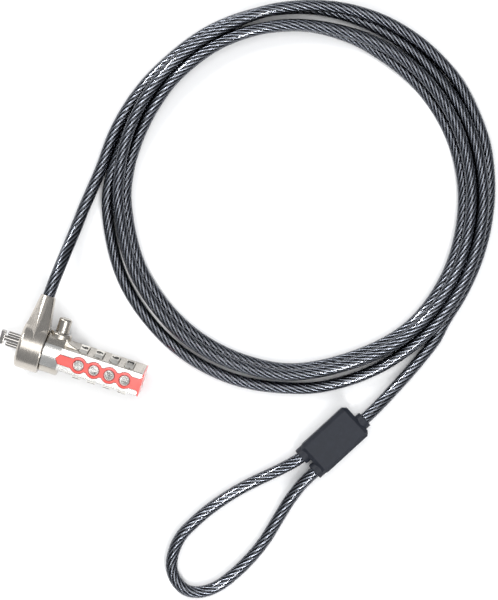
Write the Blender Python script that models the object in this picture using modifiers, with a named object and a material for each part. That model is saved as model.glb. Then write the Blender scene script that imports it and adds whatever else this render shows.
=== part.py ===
"""Laptop cable lock: a push-button combination head, its swivel collar and a coiled steel cable with an end loop.

Metres, +Z up. The lock axis lies along +X, from the T-bar's tip to the rear end, and the cable leaves the
collar along +Y. The origin is under the middle of the head, on the surface that the cable lies on.
Positions along the head are stations: distances from the T-bar's tip along the lock axis.
"""

import math

import bmesh
import bpy
from mathutils import Vector

MM = 0.001

# Fits
GAP = 0.3 * MM  # between pieces that only touch
SEAT = 0.05 * MM  # between flat faces that bear on each other
RUNNING = 0.1 * MM  # radial clearance of a piece that turns or slides

# Lock head as a whole
HEAD_LENGTH = 62.7 * MM
BODY_ROLL = math.radians(8.4)  # the front face is turned this far towards -Y about the lock axis
ROUND = 32  # sides of a round piece
SMALL_ROUND = 24  # sides of a small or hidden one

# Nose: T-bar, anchor pins and the plate that carries them
T_HEAD_THICK = 2.0 * MM
T_HEAD_SPAN = 6.0 * MM
T_HEAD_WIDTH = 2.5 * MM
SPINDLE_RADIUS = 1.2 * MM
JOURNAL_RADIUS = 1.0 * MM
BUSH_THICK = 0.7 * MM
BUSH_LENGTH = 3.0 * MM
PIN_RADIUS = 0.9 * MM
PIN_OFFSET = 2.35 * MM
PIN_START = 2.9 * MM
PIN_GRIP = 1.8 * MM  # depth of a pin in the neck
NOSE_LENGTH = 8.8 * MM
NOSE_PLATE_RADIUS = 7.6 * MM
NOSE_PLATE_THICK = 1.4 * MM

# Swivel collar with its ferrule
COLLAR_RADIUS = 10.2 * MM
COLLAR_WIDTH = 10.4 * MM
COLLAR_BEVEL = 0.9 * MM
NECK_RADIUS = 6.0 * MM
FERRULE_OFFSET = 5.2 * MM  # ferrule axis behind the collar's front face
FERRULE_REACH = 22.2 * MM  # mouth, from the lock axis
FERRULE_WALL = 0.55 * MM  # at its mouth
RIDGE_FOOT = 3.8 * MM  # where the conical ridge runs out on the collar
FACET_FOOT = 8.3 * MM  # where the side facets meet the collar's edges
WASHER_THICK = 0.2 * MM
WASHER_WIDTH = 2.0 * MM

# Housing
BARREL_LENGTH = 7.8 * MM
FRONT_HALF_WIDTH = 4.8 * MM
BACK_HALF_WIDTH = 6.0 * MM
EDGE_ROUND = 0.5 * MM
COVER_THICK = 0.8 * MM
BOSS_OFFSET = 4.7 * MM  # button axis behind the barrel's front face
BOSS_RADIUS = 4.6 * MM
BOSS_REACH = 9.6 * MM
BOSS_FAIRING = 7.0 * MM  # length of the concave run-out behind the boss
END_CAP_THICK = 0.8 * MM

# Dials and code sleeves
DIAL_COUNT = 4
DIAL_PITCH = 6.7 * MM
FIRST_DIAL = 35.4 * MM
DIAL_RADIUS = 7.5 * MM
DIAL_WIDTH = 3.5 * MM
DIAL_FACES = 10
SLEEVE_RADIUS = 3.9 * MM
SLEEVE_WALL = 0.8 * MM
SLEEVE_LENGTH = 5.5 * MM
WEB_THICK = 0.5 * MM
SHAFT_RADIUS = 1.6 * MM
FIN_RADIUS = 2.8 * MM
FIN_WIDTH = 1.2 * MM
FIN_THICK = 0.5 * MM
FIN_LEAD = 0.15 * MM  # gap from a fin to the web that it passes
GATE_WIDTH = 1.6 * MM
WINDOW_RADIUS = 2.1 * MM
LEAF_THICK = 0.2 * MM
LEAF_WIDTH = 3.0 * MM

# Accent strip
STRIP_START = 25.6 * MM
STRIP_THICK = 0.45 * MM
STRIP_PROUD = 0.15 * MM
STRIP_HALF_WIDTH = 1.9 * MM
STRIP_REAR_HALF_WIDTH = 2.3 * MM
STRIP_RING_RADIUS = 3.3 * MM
STRIP_POINT = 1.4 * MM
END_PLATE_THICK = 0.65 * MM

# Push button, rack and pinion
BUTTON_RADIUS = 2.75 * MM
BUTTON_TOP = 15.7 * MM
BUTTON_FLANGE_THICK = 0.9 * MM
BUSH_HEIGHT = 1.6 * MM
BUSH_WALL = 1.1 * MM
PINION_TEETH = 10
PINION_PITCH_RADIUS = 1.9 * MM
PINION_WIDTH = 2.6 * MM
TOOTH_TIP = 0.33 * MM
TOOTH_ROOT = 0.45 * MM
TOOTH_FOOT_SHARE = 0.285  # half a tooth's width at its foot, as a share of the pitch
TOOTH_TIP_SHARE = 0.135
BUTTON_TRAVEL = PINION_PITCH_RADIUS * math.pi / 2  # a quarter turn of the T-bar
RACK_THICK = 0.9 * MM
RACK_WIDTH = 2.2 * MM
RACK_END = 2.4 * MM  # how far the rack reaches past the lock axis at rest
CHAMBER_WALL = 0.5 * MM
FOOT_THICK = 0.45 * MM
SHAFT_TRAVEL = 1.3 * MM
CAM_SPARE = 1.13  # how much steeper the cam is than the shaft's travel needs
CAM_LIFT = 0.4 * MM  # flat part of the cam before its slope
CAM_TOP = 3.6 * MM
CAM_HALF = 0.9 * MM
CAM_BACK = 0.6 * MM  # thickness of the cam behind its face
BRIDGE_THICK = 0.4 * MM
BRIDGE_REST = 0.4 * MM  # how far the bridge's ends reach into the housing
BUTTON_SPRING_ROOM = 1.9 * MM
BUTTON_SPRING_DEPTH = 4.0 * MM

# Springs and screws
SPRING_WIRE = 0.3 * MM
CAP_SCREW_RADIUS = 0.75 * MM
CAP_SCREW_HEAD = 1.3 * MM
CAP_SCREW_LENGTH = 3.2 * MM
RESET_RADIUS = 1.3 * MM
RESET_FLANGE_RADIUS = 2.4 * MM
RESET_FLANGE_THICK = 0.9 * MM
SHAFT_SPRING_ROOM = 3.6 * MM  # from the shaft's shoulder to the housing's rear end
SHAFT_END_RADIUS = 0.9 * MM
SHAFT_END_LENGTH = 1.2 * MM
DOWEL_RADIUS = 0.8 * MM
DOWEL_LENGTH = 2.4 * MM
DOWEL_BITE = 0.3 * MM  # how far a dowel reaches into the cover

# Cable, coil and loop
CABLE_RADIUS = 2.5 * MM
CABLE_BORE = CABLE_RADIUS + 0.15 * MM
STOP_LENGTH = 3.5 * MM
COIL_CENTRE = (68.6 * MM, 87.8 * MM)
COIL_INNER = 67.6 * MM
COIL_OUTER = 86.2 * MM
COIL_HEIGHT = 10.0 * MM
COIL_ROUND = 2.4 * MM
LOOP_SLEEVE_AT = (115.5 * MM, -4.4 * MM)
LOOP_SLEEVE_TURN = math.radians(60.5)
LOOP_SLEEVE_LENGTH = 26.0 * MM
LOOP_SLEEVE_WIDTH = 15.9 * MM
LOOP_SLEEVE_WALL = 2.2 * MM  # over and under the cable
LOOP_SLEEVE_NECK = 2.4 * MM
LOOP_SLEEVE_ROUND = 1.6 * MM
LOOP_CRIMP_SIZE = (18.0 * MM, 11.2 * MM, 6.2 * MM)
TAIL_OFFSET = -2.1 * MM
LEG_OFFSET = 4.2 * MM

# Places that follow from the sizes
AXIS_Y = (COLLAR_RADIUS - FERRULE_REACH) / 2
AXIS_Z = COLLAR_RADIUS
COLLAR_FRONT = NOSE_LENGTH
COLLAR_REAR = COLLAR_FRONT + COLLAR_WIDTH
NECK_START = NOSE_LENGTH + NOSE_PLATE_THICK + SEAT
BARREL_START = COLLAR_REAR + WASHER_THICK + 2 * SEAT
BARREL_END = BARREL_START + BARREL_LENGTH
BUTTON_S = BARREL_START + BOSS_OFFSET
FERRULE_S = COLLAR_FRONT + FERRULE_OFFSET
FERRULE_MOUTH_RADIUS = CABLE_BORE + FERRULE_WALL
STOP_RADIUS = FERRULE_OFFSET - NOSE_PLATE_THICK - 2 * RUNNING
COVER_BACK = DIAL_RADIUS + GAP
FRONT_Z = COVER_BACK + COVER_THICK
BARREL_RADIUS = FRONT_Z
DECK_Z = COVER_BACK - SEAT
CAP_SCREW_OFFSET = DECK_Z - CAP_SCREW_HEAD - 0.25 * MM
BORE_RADIUS = SLEEVE_RADIUS + 2 * RUNNING
SLEEVE_BORE = SLEEVE_RADIUS - SLEEVE_WALL
POCKET_RADIUS = DIAL_RADIUS + GAP
HEAD_END = HEAD_LENGTH - END_PLATE_THICK
END_CAP_START = HEAD_END - SEAT - END_CAP_THICK
HOUSING_END = END_CAP_START - SEAT
DIALS = [FIRST_DIAL + i * DIAL_PITCH for i in range(DIAL_COUNT)]
FLANGE_TOP = BOSS_REACH - BUSH_HEIGHT - RUNNING
FLANGE_BOTTOM = FLANGE_TOP - BUTTON_FLANGE_THICK
FOOT_TOP = FLANGE_BOTTOM - SEAT
PINION_START = BUTTON_S - PINION_WIDTH / 2
CHAMBER_FRONT = PINION_START - 2 * MM
SPINDLE_END = PINION_START + PINION_WIDTH + 0.7 * MM
CAM_START = SPINDLE_END + GAP
CAM_FACE = CAM_START + CAM_BACK
SHAFT_NOSE = CAM_FACE + 0.25 * MM
RACK_FACE = PINION_PITCH_RADIUS + TOOTH_ROOT + SEAT
TOOTH_PITCH = 2 * math.pi * PINION_PITCH_RADIUS / PINION_TEETH
BRIDGE_BOTTOM = PINION_PITCH_RADIUS + TOOTH_TIP + GAP
BUTTON_FLANGE_RADIUS = math.hypot(RACK_FACE + RACK_THICK, RACK_WIDTH / 2)  # the foot covers the rack
LOOP_SLEEVE_Z = CABLE_RADIUS + LOOP_SLEEVE_WALL
BUSH_OUTER = SPINDLE_RADIUS + BUSH_THICK
STRIP_FRONT = FRONT_Z + STRIP_PROUD
STRIP_BACK = STRIP_FRONT - STRIP_THICK
DOWELS = [DIALS[0] - DIAL_PITCH * 0.75, DIALS[-1] - DIAL_PITCH / 2]
RESET_START = END_CAP_START - RESET_FLANGE_THICK
SHAFT_SHOULDER = HOUSING_END - SHAFT_SPRING_ROOM
UPWARD = (0, -math.pi / 2, 0)  # turns a body made along X to lie along Z

# Free cable: its centre line, laid out by hand in millimetres, with the height of its underside
LEAD_ROUTE = [(-16.7, 30.6, 6.0), (-16.3, 39.0, 2.7), (-15.8, 47.6, 0.6), (-15.3, 56.0, 0.1)]
TAIL_ROUTE = [(135.2, 28.8, 0.1), (131.6, 21.0, 0.4), (128.0, 13.6, 1.5), (124.9, 8.0, 2.2), (122.0, 2.9, 2.2)]
LOOP_ROUTE = [
    (107.1, -10.9, 2.2), (103.8, -16.6, 2.1), (97.6, -23.4, 0.9), (90.7, -30.0, 0.1), (84.0, -36.7, 0.1),
    (78.5, -43.2, 0.1), (73.3, -50.4, 0.1), (69.6, -56.7, 0.1), (66.6, -63.0, 0.1), (65.6, -70.0, 0.1),
    (66.7, -76.8, 0.1), (70.6, -82.0, 0.1), (76.0, -84.3, 0.1), (82.0, -83.0, 0.1), (87.9, -78.4, 0.1),
    (92.6, -71.8, 0.1), (96.8, -64.0, 0.1), (100.4, -55.0, 0.1), (102.9, -45.0, 0.1), (105.3, -35.0, 0.3),
    (108.2, -26.6, 1.2), (111.3, -20.6, 2.1), (114.3, -15.1, 2.2),
]  # fmt: skip


# ---------------------------------------------------------------- scene and helpers


def clear_scene():
    for obj in list(bpy.data.objects):
        bpy.data.objects.remove(obj, do_unlink=True)


def collection(name):
    found = bpy.data.collections.new(name)
    bpy.context.scene.collection.children.link(found)
    return found


def material(name, colour, roughness, metallic):
    made = bpy.data.materials.new(name)
    made.use_nodes = True
    shader = made.node_tree.nodes["Principled BSDF"]
    shader.inputs["Base Color"].default_value = (*colour, 1)
    shader.inputs["Roughness"].default_value = roughness
    shader.inputs["Metallic"].default_value = metallic
    return made


def empty(name, parent=None, location=(0, 0, 0), rotation=(0, 0, 0)):
    made = bpy.data.objects.new(name, None)
    made.location = location
    made.rotation_euler = rotation
    made.parent = parent
    PARTS.objects.link(made)
    return made


def add(name, mesh, parent, finish=None, location=(0, 0, 0), rotation=(0, 0, 0)):
    """Makes an object of the mesh: a part if it has a finish, and otherwise a cutter or an addition."""
    made = bpy.data.objects.new(name, mesh)
    made.location = location
    made.rotation_euler = rotation
    made.parent = parent
    if finish:
        mesh.materials.append(finish)
        PARTS.objects.link(made)
    else:
        made.hide_render = True
        made.display_type = "WIRE"
        HELPERS.objects.link(made)
    return made


def mesh_from(bm, name, smooth=True):
    bmesh.ops.remove_doubles(bm, verts=bm.verts, dist=1e-6)
    bmesh.ops.recalc_face_normals(bm, faces=bm.faces)
    mesh = bpy.data.meshes.new(name)
    bm.to_mesh(mesh)
    bm.free()
    if smooth:
        mesh.shade_smooth()
        mesh.set_sharp_from_angle(angle=math.radians(35))
    return mesh


def cylinder(name, radius, low, high, segments=ROUND):
    """A closed cylinder along X between two stations."""
    bm = bmesh.new()
    bmesh.ops.create_cone(bm, cap_ends=True, segments=segments, radius1=radius, radius2=radius, depth=high - low)
    for vert in bm.verts:
        across, up, along = vert.co
        vert.co = (along + (low + high) / 2, across, up)
    return mesh_from(bm, name)


def block(name, low, high, bevel=0.0):
    bm = bmesh.new()
    bmesh.ops.create_cube(bm, size=1)
    for vert in bm.verts:
        vert.co = [a + (b - a) * (c + 0.5) for a, b, c in zip(low, high, vert.co)]
    if bevel:
        bmesh.ops.bevel(bm, geom=bm.edges[:], offset=bevel, segments=2, affect="EDGES", profile=0.5)
    return mesh_from(bm, name)


def turned(name, profile, segments=ROUND):
    """A body turned about X. The profile holds (station, radius) pairs of its closed outline."""
    area = sum(a[0] * b[1] - b[0] * a[1] for a, b in zip(profile, profile[1:] + profile[:1]))
    ordered = profile if area > 0 else profile[::-1]
    bm = bmesh.new()
    verts = [bm.verts.new((0, radius, station)) for station, radius in ordered]
    for first, second in zip(verts, verts[1:] + verts[:1]):
        if first.co.y > 0 or second.co.y > 0:
            bm.edges.new((first, second))
    mesh = bpy.data.meshes.new(name)
    bm.to_mesh(mesh)
    bm.free()
    source = bpy.data.objects.new(name, mesh)
    HELPERS.objects.link(source)
    screw = source.modifiers.new("turn", "SCREW")
    screw.axis = "Z"
    screw.steps = screw.render_steps = segments
    screw.use_merge_vertices = True
    screw.merge_threshold = 1e-6
    bm = evaluated_copy(source)
    for vert in bm.verts:
        across, up, along = vert.co
        vert.co = (along, across, up)
    return mesh_from(bm, name)


def evaluated_copy(source):
    """The evaluated mesh of a helper object, which is then removed."""
    bpy.context.view_layer.update()
    graph = bpy.context.evaluated_depsgraph_get()
    mesh = bpy.data.meshes.new_from_object(source.evaluated_get(graph))
    bm = bmesh.new()
    bm.from_mesh(mesh)
    bpy.data.meshes.remove(mesh)
    bpy.data.objects.remove(source, do_unlink=True)
    return bm


def plate(name, outline, low, high, along="X"):
    """A flat outline given a thickness. The outline is in (Y, Z) if it is extruded along X, or in (X, Y) along Z."""
    curve = bpy.data.curves.new(name, "CURVE")
    curve.dimensions = "2D"
    curve.fill_mode = "BOTH"
    curve.extrude = (high - low) / 2
    spline = curve.splines.new("POLY")
    spline.points.add(len(outline) - 1)
    for point, (a, b) in zip(spline.points, outline):
        point.co = (a, b, 0, 1)
    spline.use_cyclic_u = True
    source = bpy.data.objects.new(name, curve)
    HELPERS.objects.link(source)
    bm = evaluated_copy(source)
    middle = (low + high) / 2
    for vert in bm.verts:
        a, b, thick = vert.co
        vert.co = (middle + thick, a, b) if along == "X" else (a, b, middle + thick)
    return mesh_from(bm, name)


def rounded(outline, radius, steps=3):
    """The outline with an arc of this radius at each corner."""
    made = []
    for before, corner, after in zip(outline[-1:] + outline[:-1], outline, outline[1:] + outline[:1]):
        corner = Vector(corner)
        into = (Vector(before) - corner).normalized()
        out = (Vector(after) - corner).normalized()
        half = into.angle(out) / 2
        reach = radius / math.tan(half)
        centre = corner + (into + out).normalized() * radius / math.sin(half)
        start = corner + into * reach - centre
        turn = start.angle_signed(corner + out * reach - centre)
        for step in range(steps + 1):
            angle = -turn * step / steps
            made.append(
                (
                    centre.x + start.x * math.cos(angle) - start.y * math.sin(angle),
                    centre.y + start.x * math.sin(angle) + start.y * math.cos(angle),
                )
            )
    return made


def arc(centre, radius, start, end, steps):
    """Points of an arc, with its angles in radians."""
    angles = [start + (end - start) * i / steps for i in range(steps + 1)]
    return [(centre[0] + radius * math.cos(a), centre[1] + radius * math.sin(a)) for a in angles]


def boolean(obj, other, operation):
    step = obj.modifiers.new(f"{operation.lower()} {other.name}", "BOOLEAN")
    step.operation = operation
    step.object = other
    step.solver = "MANIFOLD"


def cut(obj, *cutters):
    for cutter in cutters:
        boolean(obj, cutter, "DIFFERENCE")


def join(obj, *others):
    for other in others:
        boolean(obj, other, "UNION")


def lying(route):
    """Points of the centre line of cable whose underside is at the route's heights."""
    return [Vector((x, y, lift)) * MM + Vector((0, 0, CABLE_RADIUS)) for x, y, lift in route]


def smooth_route(points, count):
    """Points at even steps of a Catmull-Rom curve through these points."""
    ends = [2 * points[0] - points[1], *points, 2 * points[-1] - points[-2]]
    fine = [points[0]]
    for a, b, c, d in zip(ends, ends[1:], ends[2:], ends[3:]):
        for i in range(1, 17):
            t = i / 16
            fine.append(
                0.5 * (2 * b + (c - a) * t + (2 * a - 5 * b + 4 * c - d) * t**2 + (3 * b - a - 3 * c + d) * t**3)
            )
    lengths = [0.0]
    for a, b in zip(fine, fine[1:]):
        lengths.append(lengths[-1] + (b - a).length)
    made = []
    for i in range(count):
        wanted = lengths[-1] * i / (count - 1)
        k = max(j for j, length in enumerate(lengths[:-1]) if length <= wanted + 1e-9)
        share = (wanted - lengths[k]) / (lengths[k + 1] - lengths[k])
        made.append(fine[k].lerp(fine[k + 1], share))
    return made


def cable_tube(name, points, finish):
    curve = bpy.data.curves.new(name, "CURVE")
    curve.dimensions = "3D"
    curve.bevel_depth = CABLE_RADIUS
    curve.bevel_resolution = 3
    curve.use_fill_caps = True
    spline = curve.splines.new("POLY")
    spline.points.add(len(points) - 1)
    for point, place in zip(spline.points, points):
        point.co = (*place, 1)
    made = bpy.data.objects.new(name, curve)
    curve.materials.append(finish)
    PARTS.objects.link(made)
    return made


def spring(name, radius, low, high, turns, parent, finish):
    """A compression spring along X between two stations, wound from round wire."""
    steps = 10
    first, last = low + SPRING_WIRE / 2, high - SPRING_WIRE / 2
    count = int(turns * steps)
    curve = bpy.data.curves.new(name, "CURVE")
    curve.dimensions = "3D"
    curve.bevel_depth = SPRING_WIRE / 2
    curve.bevel_resolution = 0
    curve.use_fill_caps = True
    spline = curve.splines.new("POLY")
    spline.points.add(count)
    for i, point in enumerate(spline.points):
        angle = 2 * math.pi * i / steps
        along = first + (last - first) * i / count
        point.co = (along, radius * math.cos(angle), radius * math.sin(angle), 1)
    curve.materials.append(finish)
    made = bpy.data.objects.new(name, curve)
    made.parent = parent
    PARTS.objects.link(made)
    return made


# ---------------------------------------------------------------- collar and cable end


def make_collar():
    front, rear = COLLAR_FRONT, COLLAR_REAR
    bevel = COLLAR_BEVEL
    ring = turned(
        "swivel_collar",
        [
            (front, 0),
            (front, COLLAR_RADIUS - bevel),
            (front + bevel, COLLAR_RADIUS),
            (rear - bevel / 2, COLLAR_RADIUS),
            (rear, COLLAR_RADIUS - bevel / 2),
            (rear, 0),
        ],
        64,
    )
    collar = add("swivel_collar", ring, AXIS, NICKEL)

    bm = bmesh.new()
    for i in range(ROUND):
        angle = 2 * math.pi * i / ROUND
        across = FERRULE_MOUTH_RADIUS * math.cos(angle)
        bm.verts.new((FERRULE_S + across, FERRULE_REACH, FERRULE_MOUTH_RADIUS * math.sin(angle)))
    for side in (-1, 1):
        ridge = math.sqrt(COLLAR_RADIUS**2 - RIDGE_FOOT**2)
        edge = math.sqrt((COLLAR_RADIUS - bevel / 2) ** 2 - FACET_FOOT**2)
        bm.verts.new((FERRULE_S, RIDGE_FOOT, side * ridge))
        bm.verts.new((front + bevel / 2, FACET_FOOT, side * edge))
        bm.verts.new((rear - bevel / 4, FACET_FOOT, side * edge))
    bmesh.ops.convex_hull(bm, input=bm.verts[:])
    join(collar, add("ferrule_form", mesh_from(bm, "ferrule_form"), AXIS))

    counterbore = NOSE_PLATE_RADIUS + RUNNING
    step = NECK_START + RUNNING
    bore = turned(
        "collar_bore",
        [
            (front - GAP, 0),
            (front - GAP, counterbore),
            (step, counterbore),
            (step, NECK_RADIUS + RUNNING),
            (rear + GAP, NECK_RADIUS + RUNNING),
            (rear + GAP, 0),
        ],
    )
    stop_seat = NECK_RADIUS + RUNNING + STOP_LENGTH + GAP
    cable_bore = turned(
        "cable_bore",
        [
            (0, 0),
            (0, STOP_RADIUS + RUNNING),
            (stop_seat, STOP_RADIUS + RUNNING),
            (stop_seat, CABLE_BORE),
            (FERRULE_REACH + GAP, CABLE_BORE),
            (FERRULE_REACH + GAP, 0),
        ],
        32,
    )
    cut(collar, add("collar_bore", bore, AXIS))
    cut(collar, add("cable_bore", cable_bore, FERRULE))

    stop = turned(
        "cable_stop",
        [
            (stop_seat - GAP - STOP_LENGTH + SEAT, 0),
            (stop_seat - GAP - STOP_LENGTH + SEAT, STOP_RADIUS - 0.4 * MM),
            (stop_seat - GAP - STOP_LENGTH + 0.4 * MM, STOP_RADIUS),
            (stop_seat - SEAT, STOP_RADIUS),
            (stop_seat - SEAT, 0),
        ],
        32,
    )
    add("cable_stop_crimp", stop, FERRULE, STEEL)


def make_washer():
    inner = NECK_RADIUS + RUNNING
    washer = turned(
        "swivel_washer",
        [
            (COLLAR_REAR + SEAT, inner),
            (COLLAR_REAR + SEAT, inner + WASHER_WIDTH),
            (COLLAR_REAR + SEAT + WASHER_THICK, inner + WASHER_WIDTH),
            (COLLAR_REAR + SEAT + WASHER_THICK, inner),
        ],
    )
    add("swivel_washer", washer, AXIS, BLACK)


# ---------------------------------------------------------------- housing


def section(front_z, back_z, half_front=FRONT_HALF_WIDTH, margin=0.0):
    """The dial section's outline in (Y, Z): flat front and back, and sides that lean out towards the back."""
    slope = (BACK_HALF_WIDTH - FRONT_HALF_WIDTH) / (FRONT_Z - back_z)
    top = half_front + (FRONT_Z - front_z) * slope + margin
    bottom = BACK_HALF_WIDTH + margin
    return [(-bottom, back_z), (bottom, back_z), (top, front_z), (-top, front_z)]


def cover_sector(inner, outer, margin=0.0):
    """The outline in (Y, Z) of the cover's tongue, which follows the barrel."""
    half = math.asin(FRONT_HALF_WIDTH / BARREL_RADIUS) + margin / BARREL_RADIUS
    up = math.pi / 2
    return arc((0, 0), outer, up - half, up + half, 10) + arc((0, 0), inner, up + half, up - half, 10)


def make_housing():
    neck = cylinder("lock_housing", NECK_RADIUS, NECK_START, BARREL_START + MM)
    housing = add("lock_housing", neck, BODY, NICKEL)
    bevel = 0.4 * MM
    barrel = turned(
        "barrel_form",
        [
            (BARREL_START, 0),
            (BARREL_START, BARREL_RADIUS - bevel),
            (BARREL_START + bevel, BARREL_RADIUS),
            (BARREL_END - bevel, BARREL_RADIUS),
            (BARREL_END, BARREL_RADIUS - bevel),
            (BARREL_END, 0),
        ],
        64,
    )
    dial_body = plate("dial_body_form", rounded(section(DECK_Z, -FRONT_Z), EDGE_ROUND), BARREL_END - MM, HOUSING_END)
    join(housing, add("barrel_form", barrel, BODY), add("dial_body_form", dial_body, BODY))

    boss = turned(
        "boss_form",
        [
            (0, 0),
            (0, BOSS_RADIUS),
            (BOSS_REACH - bevel, BOSS_RADIUS),
            (BOSS_REACH, BOSS_RADIUS - bevel),
            (BOSS_REACH, 0),
        ],
    )
    foot = BACK_HALF_WIDTH - EDGE_ROUND
    start, top = BUTTON_S + BOSS_RADIUS * 0.8, BOSS_REACH - 1.4 * MM
    rise = top - foot
    run_out = [
        (start + BOSS_FAIRING * (1 - math.cos(a)), foot + rise * (1 - math.sin(a)))
        for a in [math.pi / 2 * i / 8 for i in range(9)]
    ]
    fairing = [(BUTTON_S - MM, 0), (start + BOSS_FAIRING, 0), *run_out[::-1], (BUTTON_S - MM, top)]
    height = BOSS_RADIUS * 0.8
    fairing_mesh = plate("fairing_form", fairing, -height, height, "Z")
    join(housing, add("boss_form", boss, BUTTON_AXIS), add("fairing_form", fairing_mesh, BODY))

    hollow = [
        ("cover_seat", plate("cover_seat", cover_sector(DECK_Z, BARREL_RADIUS + MM, RUNNING), 0, BARREL_END)),
        ("mechanism_chamber", chamber()),
        ("rack_space", rack_space()),
        ("cam_space", cam_space()),
        ("code_bore", cylinder("code_bore", BORE_RADIUS, CAM_FACE, HOUSING_END + GAP, SMALL_ROUND)),
        ("spindle_bore", cylinder("spindle_bore", BUSH_OUTER + SEAT, 0, BUTTON_S, SMALL_ROUND)),
        ("leaf_groove", leaf_groove()),
        ("bridge_seat", bridge_long(SEAT, DECK_Z)),
        ("bridge_tab_seat", bridge_tab(SEAT, DECK_Z)),
    ]
    for name, mesh in hollow:
        cut(housing, add(name, mesh, BODY))
    for i, station in enumerate(DIALS):
        low = station - DIAL_WIDTH / 2 - GAP
        pocket = cylinder(f"dial_pocket_{i + 1}", POCKET_RADIUS, low, low + DIAL_WIDTH + 2 * GAP, 48)
        cut(housing, add(f"dial_pocket_{i + 1}", pocket, BODY))
    for side in (-1, 1):
        pin_hole = cylinder("pin_hole", PIN_RADIUS + SEAT, 0, NECK_START + PIN_GRIP + GAP, 20)
        cut(housing, add(f"pin_hole_{side}", pin_hole, BODY, location=(0, side * PIN_OFFSET, 0)))
        low = HOUSING_END - CAP_SCREW_LENGTH
        screw_hole = cylinder("screw_hole", CAP_SCREW_RADIUS + SEAT, low - GAP, HOUSING_END + GAP, 16)
        cut(housing, add(f"screw_hole_{side}", screw_hole, BODY, location=(0, 0, side * CAP_SCREW_OFFSET)))
    for i, station in enumerate(DOWELS):
        hole = cylinder("dowel_hole", DOWEL_RADIUS + SEAT, COVER_BACK - DOWEL_LENGTH - GAP, FRONT_Z, 16)
        cut(housing, add(f"dowel_hole_{i + 1}", hole, BODY, location=(station, 0, 0), rotation=UPWARD))

    wide = BUTTON_FLANGE_RADIUS + 2 * RUNNING
    seat = BOSS_REACH - BUSH_HEIGHT
    bore = turned(
        "button_bore",
        [
            (FLANGE_BOTTOM - BUTTON_TRAVEL - MM, 0),
            (FLANGE_BOTTOM - BUTTON_TRAVEL - MM, wide),
            (seat - SEAT, wide),
            (seat - SEAT, BUTTON_RADIUS + RUNNING + BUSH_WALL + SEAT),
            (BOSS_REACH + GAP, BUTTON_RADIUS + RUNNING + BUSH_WALL + SEAT),
            (BOSS_REACH + GAP, 0),
        ],
    )
    cut(housing, add("button_bore", bore, BUTTON_AXIS))


def chamber():
    """The room under the cover's tongue for the pinion and the bridge, open to the front."""
    half = FRONT_HALF_WIDTH - CHAMBER_WALL
    low = (CHAMBER_FRONT, -half, -RACK_FACE - RACK_THICK - GAP)
    high = (SPINDLE_END + GAP, half, DECK_Z)
    return block("mechanism_chamber", low, high)


def rack_space():
    """The deeper pocket behind the pinion, which the rack's end moves into."""
    low = (CHAMBER_FRONT, -RACK_END - BUTTON_TRAVEL - GAP, -RACK_FACE - RACK_THICK - GAP)
    high = (SPINDLE_END + GAP, 0, -PINION_PITCH_RADIUS / 2)
    return block("rack_space", low, high)


def cam_space():
    low = (SPINDLE_END - GAP, -BUTTON_TRAVEL - 1.6 * MM, -RACK_FACE - RACK_THICK - GAP)
    high = (CAM_FACE + SHAFT_TRAVEL + 0.5 * MM, CAM_TOP + MM, CAM_HALF + 0.4 * MM)
    return block("cam_space", low, high)


def leaf_groove():
    low = (DIALS[0] - DIAL_PITCH / 2 - GAP, -LEAF_WIDTH / 2 - SEAT, -POCKET_RADIUS - SEAT)
    high = (DIALS[-1] + DIAL_PITCH / 2 + GAP, LEAF_WIDTH / 2 + SEAT, -DIAL_RADIUS + RUNNING)
    return block("leaf_groove", low, high)


def bridge_long(margin=0.0, front=3.4 * MM):
    """The bridge's plate over the pinion, clear of the rack on one side and the cam behind it."""
    low = (CHAMBER_FRONT - BRIDGE_REST - margin, BRIDGE_BOTTOM - margin, -1.2 * MM - margin)
    high = (SPINDLE_END, BRIDGE_BOTTOM + BRIDGE_THICK + margin, front)
    return block("bridge_long", low, high)


def bridge_tab(margin=0.0, front=3.4 * MM):
    """The bridge's rear tab, in front of the cam."""
    low = (SPINDLE_END - MM, BRIDGE_BOTTOM - margin, 1.6 * MM - margin)
    high = (SPINDLE_END + GAP + BRIDGE_REST + margin, BRIDGE_BOTTOM + BRIDGE_THICK + margin, front)
    return block("bridge_tab", low, high)


def make_bridge():
    bridge = add("spring_bridge", bridge_long(), BODY, STEEL)
    join(bridge, add("bridge_tab", bridge_tab(), BODY))


def make_cover():
    rear = HEAD_END - SEAT
    half = FRONT_HALF_WIDTH
    corners = [(-half, FRONT_Z), (-half, COVER_BACK), (half, COVER_BACK), (half, FRONT_Z)]
    flat = rounded(corners, EDGE_ROUND / 2, 2)
    cover = add("front_cover", plate("front_cover", flat, BARREL_END - 2 * GAP, rear), BODY, BRIGHT)
    tongue = plate("cover_tongue", cover_sector(COVER_BACK, BARREL_RADIUS), BARREL_START, BARREL_END - SEAT)
    join(cover, add("cover_tongue", tongue, BODY))
    recess = plate("strip_recess", strip_outline(SEAT), STRIP_BACK - SEAT, FRONT_Z + MM, "Z")
    cut(cover, add("strip_recess", recess, BODY))
    for i, station in enumerate(DIALS):
        window = cylinder("window", WINDOW_RADIUS, COVER_BACK - MM, FRONT_Z + MM, 32)
        window = add(f"cover_window_{i + 1}", window, BODY, location=(station, 0, 0), rotation=UPWARD)
        cut(cover, window)
    for i, station in enumerate(DOWELS):
        hole = cylinder("cover_hole", DOWEL_RADIUS + SEAT, COVER_BACK - MM, COVER_BACK + DOWEL_BITE + SEAT, 16)
        hole = add(f"cover_hole_{i + 1}", hole, BODY, location=(station, 0, 0), rotation=UPWARD)
        cut(cover, hole)
        low = COVER_BACK + DOWEL_BITE - DOWEL_LENGTH
        dowel = cylinder("cover_dowel", DOWEL_RADIUS, low, COVER_BACK + DOWEL_BITE, 16)
        add(f"cover_dowel_{i + 1}", dowel, BODY, STEEL, (station, 0, 0), UPWARD)


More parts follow.
